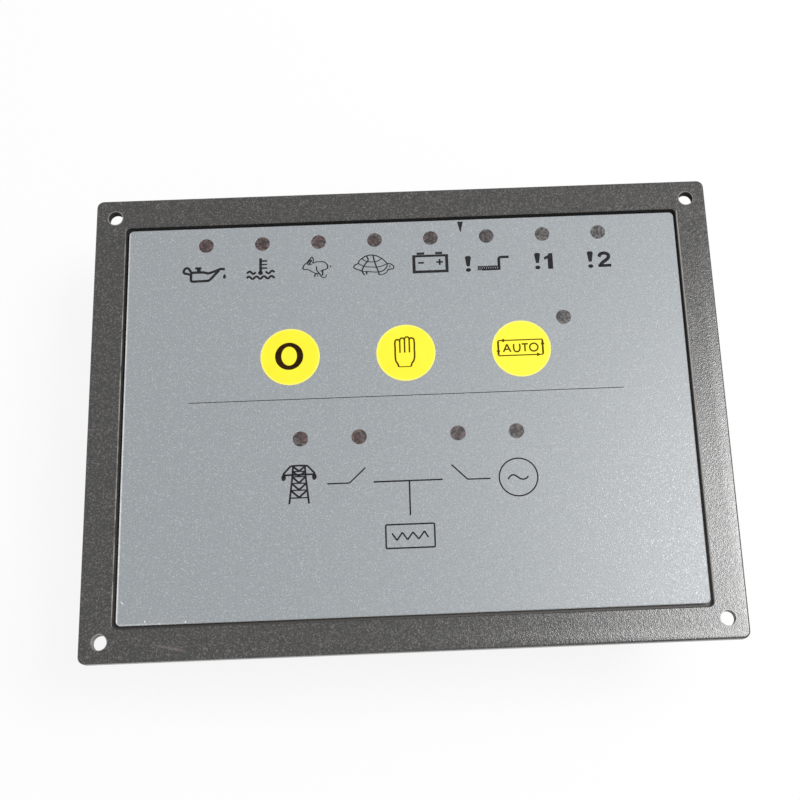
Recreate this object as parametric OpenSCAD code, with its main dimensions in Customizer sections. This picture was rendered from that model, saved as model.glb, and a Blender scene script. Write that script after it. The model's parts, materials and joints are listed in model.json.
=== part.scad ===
// Genset controller: a panel-mounted automatic mains failure module.
// It lies on its back, face up: X runs to the right of the face, Y up the face, Z out of it.
// The origin is under the middle of the face, on the plane that the rear cover rests on.

/* [Front moulding] */
// Width of the front moulding
panel_w = 192; // [184:1:204]
// Height of the front moulding
panel_h = 144; // [136:1:156]
// Corner radius of the front moulding
panel_r = 2.2; // [1.2:0.1:4]
// Thickness of the mounting flange
flange_t = 3.2; // [2.8:0.1:4.5]
// Width of the flange that lies on the panel, from the outer edge to the body
flange_w = 10.5; // [9.8:0.1:11.2]
// Rounding of the front edge
edge_round = 0.6; // [0.2:0.1:1]
// Width of the raised border round the film
border_w = 9.5; // [9.2:0.1:12]
// Depth of the recess that holds the film
recess_depth = 1; // [0.7:0.1:1.3]
// Corner radius of the recess
recess_r = 1.8; // [1:0.1:3]
// Chamfer on the edge of the recess
recess_chamfer = 0.3; // [0.1:0.05:0.5]
// Diameter of the panel fixing holes
fix_hole_d = 4.4; // [3.6:0.1:4.8]
// Distance of the fixing holes from the outer edges
fix_inset = 6; // [5.2:0.1:6.4]

/* [Film] */
// Thickness of the front film with its adhesive
film_t = 0.5; // [0.3:0.05:0.65]
// Gap between the film and the border
film_gap = 0.95; // [0.4:0.05:1.2]
// Corner radius of the film
film_r = 1.4; // [0.6:0.1:2.4]
// Depth of the gutter round the film, below the floor of the recess
gutter_depth = 1.2; // [0.6:0.1:1.6]
// How far the film stands out over the gutter
gutter_under = 0.3; // [0.1:0.05:0.4]
// Diameter of the smoked lamp windows
window_d = 4.6; // [4.1:0.1:5.2]
// Clearance of a lamp window in the film
window_fit = 0.04; // [0.02:0.01:0.1]

/* [Lamps] */
// Distance between neighbouring lamps in a row
lamp_pitch = 17.55; // [15:0.05:18.5]
// Distance of the upper lamp row from the top edge of the film
lamp_row_inset = 5.85; // [5.4:0.05:9]
// Height of the lower lamp row above the middle of the face
supply_row_y = -8; // [-14:0.5:-5]
// Distance of the inner supply lamps from the middle line
supply_lamp_x = 14.8; // [12:0.1:18]
// Distance of the auto lamp to the right of its key
auto_lamp_dx = 13.5; // [12.5:0.1:16]
// Distance of the auto lamp above its key
auto_lamp_dy = 9.75; // [9:0.05:13]
// Diameter of a lamp
lamp_d = 3; // [2.8:0.1:3.2]
// Diameter of the collar at the foot of a lamp
lamp_collar_d = 3.8; // [3.6:0.1:4.2]
// Height of that collar
lamp_collar_h = 1; // [0.6:0.1:1.4]
// Height of a lamp from its collar to its tip
lamp_h = 5.4; // [4.8:0.1:6]
// How far a lamp's tip reaches into its light hole
lamp_reach = 1.2; // [0.4:0.1:1.5]
// Clearance round a lamp in its light hole
lamp_clear = 0.4; // [0.2:0.05:0.5]

/* [Keys] */
// Diameter of a key
key_d = 18; // [15:0.1:19]
// Distance between neighbouring keys
key_pitch = 35.3; // [31:0.1:38]
// Height of the key row above the middle of the face
key_row_y = 18; // [14:0.05:22]
// Travel of a key
key_travel = 0.4; // [0.2:0.05:0.6]
// Clearance round a key in its aperture
key_clear = 0.15; // [0.1:0.05:0.3]
// Width of the lip that keeps a key behind the moulding
key_lip_w = 1.2; // [0.8:0.1:1.6]
// Thickness of that lip
key_lip_t = 0.8; // [0.6:0.1:1]
// Play between the lip and the moulding
key_play = 0.1; // [0.05:0.05:0.2]
// Diameter of the post that presses the switch
key_post_d = 4.4; // [3.6:0.1:6]

/* [Key switches] */
// Side of a switch body
switch_w = 6; // [5.6:0.1:7]
// Height of a switch body
switch_h = 3.5; // [3:0.1:3.8]
// Diameter of a switch stem
switch_stem_d = 3.4; // [2.8:0.1:3.8]
// How far the stem stands out of the body
switch_stem_out = 0.9; // [0.7:0.05:1.2]
// How deep the stem sits in the body
switch_stem_in = 1.2; // [0.8:0.1:1.4]
// Clearance round the stem
switch_stem_clear = 0.15; // [0.1:0.05:0.25]

/* [Housing] */
// Depth of the body behind the panel
body_depth = 47; // [45.5:0.5:56]
// Corner radius of the body
body_r = 3; // [2:0.1:5]
// Rounding of the back edges of the cover
cover_round = 1; // [0.4:0.1:1.6]
// Wall thickness of the body
wall = 2.2; // [1.8:0.1:2.6]
// Width of the stepped bay that holds a row of terminals
bay_w = 24; // [20:0.5:27]
// Height of the lip by which the cover enters the front moulding
lip_h = 1.5; // [1:0.1:2.5]
// Thickness of that lip
lip_t = 1.2; // [0.8:0.1:1.6]
// Clearance round that lip
lip_clear = 0.15; // [0.1:0.05:0.3]
// Distance of the cover screws from the body's sides
screw_inset = 9; // [8:0.5:10]
// Diameter of the tubes that the cover screws run in
tube_d = 9; // [8.4:0.1:10]
// Diameter of the bosses on the back of the front moulding
boss_d = 7.4; // [6:0.1:9]
// Length of a vent slot
vent_l = 24; // [14:1:30]
// Width of a vent slot
vent_w = 2; // [1.4:0.1:2.6]
// Distance between neighbouring vent slots
vent_pitch = 5; // [4:0.1:5.6]
// Number of slots in each group of vents
vent_count = 9; // [5:1:10]
// Distance of the middle of a group of vents from the middle line
vent_x = 42; // [36:1:50]

/* [Boards] */
// Thickness of a circuit board
board_t = 1.6; // [1.4:0.1:2]
// Gap between the front moulding and the display board
lamp_gap = 6.5; // [6:0.1:7.5]
// Gap between the two boards
board_gap = 17; // [16.5:0.1:18]
// Room behind the power board for heads and solder
solder_gap = 2.6; // [2.4:0.1:3.2]
// Clearance round the display board
board_clear = 0.8; // [0.5:0.1:1.2]
// Clearance round the power board, also at the screw tubes
power_clear = 1.2; // [0.8:0.1:1.8]
// Distance of the board spacers from the middle line, sideways
spacer_x = 62; // [60:0.5:66]
// Distance of the board spacers from the middle line, up and down
spacer_y = 24; // [20:0.5:26]
// Width of a board spacer across its flats
spacer_af = 5.5; // [5:0.1:6]

/* [Screws] */
// Diameter of the screws
screw_d = 3; // [2.6:0.1:3.2]
// Diameter of a screw head
head_d = 5.6; // [5:0.1:5.8]
// Height of a screw head
head_h = 2; // [1.6:0.1:2.2]
// Clearance of a screw in a hole that it passes through
hole_clear = 0.2; // [0.1:0.05:0.4]
// Clearance left in a threaded hole, where the thread isn't cut
thread_clear = 0.05; // [0.03:0.01:0.08]
// How far a screw enters a threaded hole
bite = 5; // [4:0.1:5.4]
// How far a cover screw's head lies below the cover's surface
head_sink = 0.4; // [0.2:0.1:1]
// Width of the cross cut in a screw head
cross_w = 0.8; // [0.6:0.1:1]
// Length of the cross cut in a screw head
cross_l = 3.4; // [2.8:0.1:4]

/* [Terminals] */
// Distance between the poles of the control plugs
fine_pitch = 5.08; // [5:0.02:5.1]
// Number of poles of the control plug
control_poles = 10; // [6:1:10]
// Number of poles of the input plug
input_poles = 9; // [6:1:10]
// Distance between the poles of the mains voltage plugs
wide_pitch = 7.62; // [7:0.02:7.7]
// Number of poles of a mains voltage plug
wide_poles = 4; // [3:1:4]
// Distance between the mains voltage plugs
wide_spacing = 42; // [38:0.5:44]
// Height of a header above the power board
header_h = 8.5; // [8:0.1:9.5]
// Depth of a header, front to back of its row
header_d = 8.6; // [8:0.1:9.4]
// Wall of a header
header_wall = 1.1; // [0.8:0.1:1.4]
// Floor of a header
header_floor = 2; // [1.5:0.1:2.4]
// Clearance between a header and the cover
header_clear = 0.4; // [0.2:0.1:0.8]
// Depth of a plug, from its back to its wire side
plug_d = 15; // [13:0.5:16]
// Height of a plug behind its header
plug_h = 9.3; // [8.6:0.1:10]
// How far a plug enters its header
plug_in = 5; // [4:0.1:5.6]
// Clearance between a plug and its header
plug_clear = 0.2; // [0.1:0.05:0.3]
// Distance of the plugs from the body's sides
plug_setback = 1.5; // [1:0.1:2.5]
// Slope on the wire side of a plug
plug_slope = 2.4; // [1:0.1:3]
// Width of the groove between two poles of a plug
groove_w = 0.5; // [0.3:0.1:0.6]
// Depth of that groove
groove_depth = 0.5; // [0.3:0.1:0.7]
// Side of a wire opening
wire_w = 3.4; // [2.8:0.1:3.6]
// Depth of a wire opening
wire_depth = 7; // [5:0.1:7.4]
// Distance from the front of a plug to the middle of its wire openings
wire_drop = 4.2; // [3.4:0.1:4.6]
// Diameter of a terminal screw
clamp_d = 3.6; // [3:0.1:3.8]
// Height of a terminal screw
clamp_h = 1.6; // [1.2:0.1:2]
// Depth of a terminal screw below the back of the plug
clamp_sink = 0.6; // [0.4:0.1:1]
// Distance of the terminal screws inward from the middle of a plug
clamp_offset = 1.5; // [1:0.1:2]
// Diameter of a header pin
pin_d = 1; // [0.8:0.1:1.2]

/* [Configuration socket] */
// Width of the configuration socket
socket_w = 12; // [11:0.1:13]
// Depth of the configuration socket, across its row
socket_d = 6.4; // [5.8:0.1:7]
// Height of the configuration socket above the power board
socket_h = 9.6; // [8.5:0.1:11]
// Wall of the configuration socket
socket_wall = 1.3; // [1:0.1:1.5]
// Distance between its pins
socket_pitch = 2.5; // [2:0.1:2.6]
// Number of its pins
socket_pins = 4; // [2:1:4]
// Space between the socket and the plugs beside it
plug_space = 3; // [2:0.1:4]

/* [Parts on the boards] */
// Width of a relay
relay_w = 19; // [17:0.5:19.5]
// Depth of a relay
relay_d = 15.5; // [14:0.5:16]
// Height of a relay
relay_h = 15.2; // [13:0.1:16]
// Distance between neighbouring relays
relay_pitch = 20; // [19.6:0.1:20.4]
// Height of the relay row above the middle of the face
relay_y = -38; // [-39:0.5:-36.5]
// Number of relays
relay_count = 6; // [4:1:6]
// Diameter of a smoothing capacitor
cap_d = 10; // [8:0.5:12]
// Height of a smoothing capacitor
cap_h = 13.5; // [11:0.5:16]
// Distance of the middle capacitor from the middle line, sideways
cap_x = 36; // [30:0.5:40]
// Height of the capacitors above the middle of the face
cap_y = 8; // [2:0.5:12]
// Distance between neighbouring capacitors
cap_pitch = 14; // [12.5:0.5:15]
// Diameter of a surge disc
surge_d = 10; // [8:0.5:12]
// Thickness of a surge disc
surge_t = 4; // [3:0.1:5]
// Length of the legs under a surge disc
surge_leg = 1.6; // [1:0.1:2.5]
// Height of the surge discs above the middle of the face
surge_y = 38; // [34:0.5:42]
// Distance between neighbouring surge discs
surge_pitch = 15; // [13:0.5:17]
// Number of surge discs
surge_count = 6; // [3:1:6]
// Outer diameter of the choke
choke_d = 18; // [15:0.5:20]
// Diameter of the hole in the choke
choke_bore = 9; // [7:0.5:10]
// Height of the choke
choke_h = 8; // [6:0.5:10]
// Place of the choke, sideways from the middle line
choke_x = -44; // [-48:0.5:-36]
// Height of the choke above the middle of the face
choke_y = 4; // [-6:0.5:12]
// Height of the logic parts above the middle of the face
logic_y = -4; // [-6:0.5:0]
// Side of the processor
processor_w = 16.6; // [14:0.1:18]
// Height of the processor
processor_h = 4.2; // [3:0.1:4.4]
// Place of the processor, sideways from the middle line
processor_x = -12; // [-16:0.5:-8]
// Width of the crystal
crystal_w = 4.6; // [4:0.1:5]
// Length of the crystal
crystal_l = 11; // [9:0.5:12]
// Height of the crystal
crystal_h = 3.5; // [2.5:0.1:4]
// Place of the crystal, sideways from the middle line
crystal_x = 8; // [5:0.5:11]
// Length of the memory chip
memory_w = 9.4; // [8:0.1:10]
// Width of the memory chip
memory_d = 6.4; // [5:0.1:7]
// Height of the memory chip
memory_h = 3.4; // [2.4:0.1:4]
// Place of the memory chip, sideways from the middle line
memory_x = 24; // [20:0.5:28]
// Length of the board link
link_w = 25; // [20:0.5:28]
// Depth of the board link
link_d = 5; // [4.4:0.1:5.4]
// Height of the board link above the middle of the face
link_y = -22; // [-24:0.5:-18]

/* [Hidden] */
$fn = 64;
// Overshoot of a cut through a face
over = 1;

// Heights of the layers, from the front down
seat_z = body_depth;
front_z = seat_z + flange_t;
floor_z = front_z - recess_depth;
display_front_z = seat_z - lamp_gap;
display_back_z = display_front_z - board_t;
power_front_z = display_back_z - board_gap;
power_back_z = power_front_z - board_t;
shoulder_in_z = power_back_z - solder_gap;
shoulder_z = shoulder_in_z - wall;
board_to_lip = 0.4;
skirt_h = lamp_gap + board_t + board_to_lip + lip_h;
rim_z = seat_z - skirt_h;

// Outlines
recess_w = panel_w - 2 * border_w;
recess_h = panel_h - 2 * border_w;
film_w = recess_w - 2 * film_gap;
film_h = recess_h - 2 * film_gap;
body_w = panel_w - 2 * flange_w;
body_h = panel_h - 2 * flange_w;
inner_w = body_w - 2 * wall;
inner_h = body_h - 2 * wall;
inner_r = max(body_r - wall, 0.4);
core_h = body_h - 2 * bay_w;
display_w = inner_w - 2 * board_clear;
display_h = inner_h - 2 * board_clear;
power_w = inner_w - 2 * power_clear;
power_h = inner_h - 2 * power_clear;

// Places on the face
fix_x = panel_w / 2 - fix_inset;
fix_y = panel_h / 2 - fix_inset;
lamp_row_y = film_h / 2 - lamp_row_inset;
KEY_X = [-key_pitch, 0, key_pitch];
fault_count = 8;
FAULT_LAMPS = [for (i = [0:fault_count - 1]) [(i - (fault_count - 1) / 2) * lamp_pitch, lamp_row_y]];
AUTO_LAMPS = [[KEY_X[2] + auto_lamp_dx, key_row_y + auto_lamp_dy]];
SUPPLY_LAMPS = [for (s = [-1, 1], i = [0, 1]) [s * (supply_lamp_x + i * lamp_pitch), supply_row_y]];
LAMPS = concat(FAULT_LAMPS, AUTO_LAMPS, SUPPLY_LAMPS);
lamp_hole_d = lamp_d + 2 * lamp_clear;
lamp_spacer_h = lamp_gap + lamp_reach - lamp_h;
lamp_spacer_bore = lamp_d / 2;

// Keys and their switches
key_hole_d = key_d + 2 * key_clear;
key_lip_d = key_hole_d + 2 * key_lip_w;
key_lip_z = seat_z - key_play - key_lip_t;
switch_top_z = display_front_z + switch_h + switch_stem_out;
switch_bore_d = switch_stem_d + 2 * switch_stem_clear;
switch_bore_h = switch_stem_in + key_travel + switch_stem_clear;

// Screws, bosses and spacers
screw_x = body_w / 2 - screw_inset;
screw_y = body_h / 2 - screw_inset;
SCREWS = [for (x = [-1, 1], y = [-1, 1]) [x * screw_x, y * screw_y]];
SPACERS = [for (x = [-1, 1], y = [-1, 1]) [x * spacer_x, y * spacer_y]];
pass_d = screw_d + 2 * hole_clear;
thread_d = screw_d + 2 * thread_clear;
head_hole_d = head_d + 2 * hole_clear;
thread_room = 0.6;
head_seat_z = shoulder_z + head_sink + head_h;
notch_x = screw_x - tube_d / 2 - power_clear;
notch_y = screw_y - tube_d / 2 - power_clear;

// Rows of terminals: poles, pitch, place along the row, side of the body
function row_w(t) = t[0] * t[1];
function row_first(poles, pitch) = socket_w / 2 + plug_space + poles * pitch / 2;
CONTROL = [control_poles, fine_pitch, -row_first(control_poles, fine_pitch), -1];
INPUT = [input_poles, fine_pitch, row_first(input_poles, fine_pitch), -1];
MAINS = [wide_poles, wide_pitch, -wide_spacing, 1];
CONTACTOR = [wide_poles, wide_pitch, 0, 1];
GENERATOR = [wide_poles, wide_pitch, wide_spacing, 1];
ROWS = [CONTROL, INPUT, MAINS, CONTACTOR, GENERATOR];
plug_y = body_h / 2 - plug_setback - plug_d / 2;
header_end = header_wall + plug_clear;
spigot_d = header_d - 2 * header_wall - 2 * plug_clear;
plug_top = -header_h - plug_clear;
plug_back = plug_top - plug_h;
wire_z = plug_top - wire_drop;
pin_clear = 0.3;
pin_reach = header_h + plug_clear - header_floor - pin_clear;
socket_reach = socket_h - 2 * socket_wall - header_floor;
socket_pin_z = power_back_z - header_floor - socket_reach;

// Colours
black_moulding = "#2f2f2d";
black_cover = "#262626";
film_grey = "#a5aaaf";
smoke_grey = "#5c595b";
key_yellow = "#fdf64b";
lamp_red = "#b8302a";
lamp_green = "#3f9a55";
board_green = "#1e5c3c";
plug_green = "#2f8a52";
chip_black = "#1d1d1f";
steel = "#b9bcbe";
brass = "#c0a050";
ivory = "#d8d4c6";
orange = "#c4612a";
cap_blue = "#2b3f78";

// Shapes that repeat

// Rectangle with round corners, about the origin
module round_rect(w, h, r) {
    square([w - 2 * r, h], center = true);
    square([w, h - 2 * r], center = true);
    for (x = [-1, 1], y = [-1, 1])
        translate([x * (w / 2 - r), y * (h / 2 - r)])
            circle(r);
}

// Slot with round ends, about the origin
module slot(w, l) {
    square([w, l - w], center = true);
    for (s = [-1, 1])
        translate([0, s * (l - w) / 2])
            circle(d = w);
}

// Half a section of a recess, from its middle line out to a mouth that is chamfered
module mouth_section(half, t, c) {
    polygon([
        [0, 0],
        [half, 0],
        [half, t - c],
        [half + c + over, t + over],
        [0, t + over]
    ]);
}

// Half a section of a plate, from its middle line out to an edge that is rounded over at the top
module edge_section(half, t, e) {
    square([half - e, t]);
    square([half, t - e]);
    translate([half - e, t - e])
        circle(e);
}

// Whole section of a plate with both top edges rounded over
module plate_section(w, t, e) {
    edge_section(w / 2, t, e);
    mirror([1, 0])
        edge_section(w / 2, t, e);
}

// Plate with round corners, its top edge rounded over all the way round
module soft_plate(w, h, r, t, e) {
    rotate([90, 0, 0])
        linear_extrude(h - 2 * r, center = true)
            plate_section(w, t, e);
    rotate([90, 0, 90])
        linear_extrude(w - 2 * r, center = true)
            plate_section(h, t, e);
    for (x = [-1, 1], y = [-1, 1])
        translate([x * (w / 2 - r), y * (h / 2 - r), 0])
            rotate_extrude()
                edge_section(r, t, e);
}

// Recess with round corners, its mouth chamfered all the way round
module recess_cut(w, h, r, t, c) {
    for (s = [0, 1])
        mirror([s, 0, 0])
            rotate([90, 0, 0])
                linear_extrude(h - 2 * r, center = true)
                    mouth_section(w / 2, t, c);
    for (s = [0, 1])
        mirror([0, s, 0])
            rotate([90, 0, 90])
                linear_extrude(w - 2 * r, center = true)
                    mouth_section(h / 2, t, c);
    for (x = [-1, 1], y = [-1, 1])
        translate([x * (w / 2 - r), y * (h / 2 - r), 0])
            rotate_extrude()
                mouth_section(r, t, c);
}

// Children at each place of a list, at height z
module at(places, z) {
    for (p = places)
        translate([p[0], p[1], z])
            children();
}

// Children at the foot of a row of terminals, turned so that +Y points out of the body
module at_row(t) {
    translate([t[2], t[3] * plug_y, power_back_z])
        rotate([0, 0, t[3] > 0 ? 0 : 180])
            children();
}

// Children at each pole of a row
module at_poles(t) {
    for (i = [0:t[0] - 1])
        translate([(i - (t[0] - 1) / 2) * t[1], 0, 0])
            children();
}

// Box that stands on z = 0 and is centred in X and Y
module block(w, d, h) {
    translate([-w / 2, -d / 2, 0])
        cube([w, d, h]);
}

// The same box, hung below z = 0
module hung_block(w, d, h) {
    translate([0, 0, -h])
        block(w, d, h);
}

// Pan head with a cross cut, its seat on z = 0 and its top below
module screw_head() {
    difference() {
        translate([0, 0, -head_h])
            cylinder(d = head_d, h = head_h);
        for (a = [0, 90])
            rotate(a)
                translate([0, 0, -head_h - over])
                    block(cross_l, cross_w, head_h / 2 + over);
    }
}

// Front moulding

module boss_holes() {
    at(concat(SCREWS, SPACERS), display_front_z - over)
        cylinder(d = thread_d, h = over + bite + thread_room);
}

// Moat in the floor of the recess, which leaves a dark line round the film
module film_gutter() {
    translate([0, 0, floor_z - gutter_depth])
        linear_extrude(gutter_depth + over / 2)
            difference() {
                round_rect(recess_w, recess_h, recess_r);
                round_rect(film_w - 2 * gutter_under, film_h - 2 * gutter_under, film_r - gutter_under);
            }
}

module bezel() color(black_moulding) {
    difference() {
        union() {
            translate([0, 0, seat_z])
                soft_plate(panel_w, panel_h, panel_r, flange_t, edge_round);
            translate([0, 0, rim_z])
                linear_extrude(skirt_h)
                    difference() {
                        round_rect(body_w, body_h, body_r);
                        round_rect(inner_w, inner_h, inner_r);
                    }
            at(concat(SCREWS, SPACERS), display_front_z)
                cylinder(d = boss_d, h = lamp_gap);
        }
        translate([0, 0, floor_z])
            recess_cut(recess_w, recess_h, recess_r, recess_depth, recess_chamfer);
        film_gutter();
        for (x = [-fix_x, fix_x], y = [-fix_y, fix_y])
            translate([x, y, seat_z - over])
                cylinder(d = fix_hole_d, h = flange_t + 2 * over);
        at(LAMPS, seat_z - over)
            cylinder(d = lamp_hole_d, h = flange_t + 2 * over);
        for (x = KEY_X)
            translate([x, key_row_y, seat_z - over])
                cylinder(d = key_hole_d, h = flange_t + 2 * over);
        boss_holes();
    }
}

module overlay() color(film_grey) {
    translate([0, 0, floor_z])
        difference() {
            linear_extrude(film_t)
                round_rect(film_w, film_h, film_r);
            at(LAMPS, -over)
                cylinder(d = window_d + 2 * window_fit, h = film_t + 2 * over);
            for (x = KEY_X)
                translate([x, key_row_y, -over])
                    cylinder(d = key_hole_d, h = film_t + 2 * over);
        }
}

module lamp_windows() color(smoke_grey) {
    at(LAMPS, floor_z)
        cylinder(d = window_d, h = film_t);
}

// Keys

module key_face(x) {
    translate([x, key_row_y, floor_z])
        cylinder(d = key_d, h = film_t);
}

module key_plunger(x) {
    translate([x, key_row_y, 0]) {
        translate([0, 0, key_lip_z])
            cylinder(d = key_d, h = floor_z - key_lip_z);
        translate([0, 0, key_lip_z])
            cylinder(d = key_lip_d, h = key_lip_t);
        translate([0, 0, switch_top_z])
            cylinder(d = key_post_d, h = key_lip_z - switch_top_z);
    }
}

module key_switch_stem(x) {
    translate([x, key_row_y, switch_top_z - switch_stem_out - switch_stem_in])
        cylinder(d = switch_stem_d, h = switch_stem_in + switch_stem_out);
}

module key_switch(x) {
    translate([x, key_row_y, display_front_z])
        difference() {
            block(switch_w, switch_w, switch_h);
            translate([0, 0, switch_h - switch_bore_h])
                cylinder(d = switch_bore_d, h = switch_bore_h + over);
        }
}

module stop_key() color(key_yellow) key_face(KEY_X[0]);
module manual_key() color(key_yellow) key_face(KEY_X[1]);
module auto_key() color(key_yellow) key_face(KEY_X[2]);
module stop_plunger() color(ivory) key_plunger(KEY_X[0]);
module manual_plunger() color(ivory) key_plunger(KEY_X[1]);
module auto_plunger() color(ivory) key_plunger(KEY_X[2]);
module stop_switch_stem() color(chip_black) key_switch_stem(KEY_X[0]);
module manual_switch_stem() color(chip_black) key_switch_stem(KEY_X[1]);
module auto_switch_stem() color(chip_black) key_switch_stem(KEY_X[2]);
module stop_switch() color(steel) key_switch(KEY_X[0]);
module manual_switch() color(steel) key_switch(KEY_X[1]);
module auto_switch() color(steel) key_switch(KEY_X[2]);

// Lamps

module lamp() {
    cylinder(d = lamp_collar_d, h = lamp_collar_h);
    cylinder(d = lamp_d, h = lamp_h - lamp_d / 2);
    translate([0, 0, lamp_h - lamp_d / 2])
        sphere(d = lamp_d);
}

module lamps(places) {
    at(places, display_front_z + lamp_spacer_h)
        lamp();
}

module fault_lamps() color(lamp_red) lamps(FAULT_LAMPS);
module auto_lamp() color(lamp_red) lamps(AUTO_LAMPS);
module supply_lamps() color(lamp_green) lamps(SUPPLY_LAMPS);

module lamp_spacers() color(ivory) {
    at(LAMPS, display_front_z)
        difference() {
            cylinder(d = lamp_collar_d, h = lamp_spacer_h);
            translate([0, 0, -over])
                cylinder(d = lamp_spacer_bore, h = lamp_spacer_h + 2 * over);
        }
}

// Display board and what it carries

module display_board() color(board_green) {
    difference() {
        translate([0, 0, display_back_z])
            linear_extrude(board_t)
                round_rect(display_w, display_h, inner_r);
        at(concat(SCREWS, SPACERS), display_back_z - over)
            cylinder(d = pass_d, h = board_t + 2 * over);
    }
}

module processor() color(chip_black) {
    translate([processor_x, logic_y, display_back_z])
        hung_block(processor_w, processor_w, processor_h);
}

module crystal() color(steel) {
    translate([crystal_x, logic_y, display_back_z])
        hung_block(crystal_w, crystal_l, crystal_h);
}

module memory_chip() color(chip_black) {
    translate([memory_x, logic_y, display_back_z])
        hung_block(memory_w, memory_d, memory_h);
}

module link_header() color(chip_black) {
    translate([0, link_y, display_back_z])
        hung_block(link_w, link_d, board_gap / 2);
}

module link_socket() color(chip_black) {
    translate([0, link_y, power_front_z])
        block(link_w, link_d, board_gap / 2);
}

module board_spacers() color(brass) {
    at(SPACERS, power_front_z)
        difference() {
            union() {
                cylinder(d = spacer_af / cos(30), h = board_gap, $fn = 6);
                cylinder(d = screw_d, h = board_gap + board_t + bite);
            }
            translate([0, 0, -over])
                cylinder(d = thread_d, h = over + bite + thread_room);
        }
}

module board_screws() color(steel) {
    at(SPACERS, power_back_z) {
        screw_head();
        cylinder(d = screw_d, h = board_t + bite);
    }
}

// Power board and what it carries

module power_board() color(board_green) {
    difference() {
        translate([0, 0, power_back_z])
            block(power_w, power_h, board_t);
        for (x = [-1, 1], y = [-1, 1])
            translate([x * power_w / 2, y * power_h / 2, power_back_z - over])
                block(power_w - 2 * notch_x, power_h - 2 * notch_y, board_t + 2 * over);
        at(SPACERS, power_back_z - over)
            cylinder(d = pass_d, h = board_t + 2 * over);
    }
}

module relays() color(orange) {
    for (i = [0:relay_count - 1])
        translate([(i - (relay_count - 1) / 2) * relay_pitch, relay_y, power_front_z])
            block(relay_w, relay_d, relay_h);
}

module capacitors() color(cap_blue) {
    for (i = [-1:1])
        translate([cap_x + i * cap_pitch, cap_y, power_front_z])
            cylinder(d = cap_d, h = cap_h);
}

module choke() color(brass) {
    translate([choke_x, choke_y, power_front_z])
        difference() {
            cylinder(d = choke_d, h = choke_h);
            translate([0, 0, -over])
                cylinder(d = choke_bore, h = choke_h + 2 * over);
        }
}

module surge_discs() color(cap_blue) {
    for (i = [0:surge_count - 1])
        translate([(i - (surge_count - 1) / 2) * surge_pitch, surge_y, power_front_z]) {
            translate([0, 0, surge_leg + surge_d / 2])
                rotate([90, 0, 0])
                    cylinder(d = surge_d, h = surge_t, center = true);
            for (x = [-1, 1])
                translate([x * surge_d / 4, 0, 0])
                    cylinder(d = pin_d, h = surge_leg + surge_d / 2);
        }
}

// Terminals

module header(t) {
    at_row(t)
        difference() {
            hung_block(row_w(t) + 2 * header_end, header_d, header_h);
            translate([0, 0, -header_floor])
                hung_block(row_w(t) + 2 * plug_clear, header_d - 2 * header_wall, header_h);
        }
}

module plug_section() {
    half = plug_d / 2;
    polygon([
        [-half, plug_top],
        [half, plug_top],
        [half, plug_back + plug_slope],
        [half - plug_slope, plug_back],
        [-half, plug_back]
    ]);
}

// Groove round the wire side and the back of a plug
module pole_groove() {
    rotate([90, 0, 90])
        linear_extrude(groove_w, center = true)
            difference() {
                plug_section();
                translate([-groove_depth, groove_depth])
                    plug_section();
            }
}

module plug(t) {
    at_row(t)
        difference() {
            union() {
                rotate([90, 0, 90])
                    linear_extrude(row_w(t), center = true)
                        plug_section();
                translate([0, 0, plug_top])
                    block(row_w(t), spigot_d, plug_clear + plug_in);
            }
            at_poles([t[0] - 1, t[1]])
                pole_groove();
            at_poles(t) {
                translate([0, plug_d / 2, wire_z])
                    cube([wire_w, 2 * wire_depth, wire_w], center = true);
                translate([0, -clamp_offset, plug_back - over])
                    cylinder(d = clamp_d + 2 * plug_clear, h = over + clamp_sink + clamp_h);
                translate([0, 0, plug_top])
                    cylinder(d = pin_d + 2 * pin_clear, h = plug_clear + plug_in + over);
            }
        }
}

module control_header() color(plug_green) header(CONTROL);
module input_header() color(plug_green) header(INPUT);
module mains_header() color(plug_green) header(MAINS);
module contactor_header() color(plug_green) header(CONTACTOR);
module generator_header() color(plug_green) header(GENERATOR);
module control_plug() color(plug_green) plug(CONTROL);
module input_plug() color(plug_green) plug(INPUT);
module mains_plug() color(plug_green) plug(MAINS);
module contactor_plug() color(plug_green) plug(CONTACTOR);
module generator_plug() color(plug_green) plug(GENERATOR);

module header_pins() color(steel) {
    for (t = ROWS)
        at_row(t)
            at_poles(t)
                translate([0, 0, -header_floor - pin_reach])
                    cylinder(d = pin_d, h = pin_reach);
}

module terminal_screws() color(steel) {
    for (t = ROWS)
        at_row(t)
            at_poles(t)
                translate([0, -clamp_offset, plug_back + clamp_sink])
                    difference() {
                        cylinder(d = clamp_d, h = clamp_h);
                        translate([0, 0, -over])
                            block(clamp_d + over, cross_w, over + clamp_h / 2);
                    }
}

module config_socket() color(ivory) {
    translate([0, -plug_y, power_back_z])
        difference() {
            hung_block(socket_w, socket_d, socket_h);
            translate([0, 0, -header_floor])
                hung_block(socket_w - 2 * socket_wall, socket_d - 2 * socket_wall, socket_h);
        }
}

module config_pins() color(brass) {
    for (i = [0:socket_pins - 1])
        translate([(i - (socket_pins - 1) / 2) * socket_pitch, -plug_y, socket_pin_z])
            cylinder(d = pin_d, h = socket_reach);
}

// Rear cover

module cover_outside() {
    translate([0, 0, rim_z])
        mirror([0, 0, 1])
            soft_plate(body_w, core_h, body_r, rim_z, cover_round);
    translate([0, 0, rim_z])
        mirror([0, 0, 1])
            soft_plate(body_w, body_h, body_r, rim_z - shoulder_z, cover_round);
}

module cover_inside() {
    translate([0, 0, wall])
        linear_extrude(rim_z)
            round_rect(inner_w, core_h - 2 * wall, inner_r);
    translate([0, 0, shoulder_in_z])
        linear_extrude(rim_z)
            round_rect(inner_w, inner_h, inner_r);
}

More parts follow.
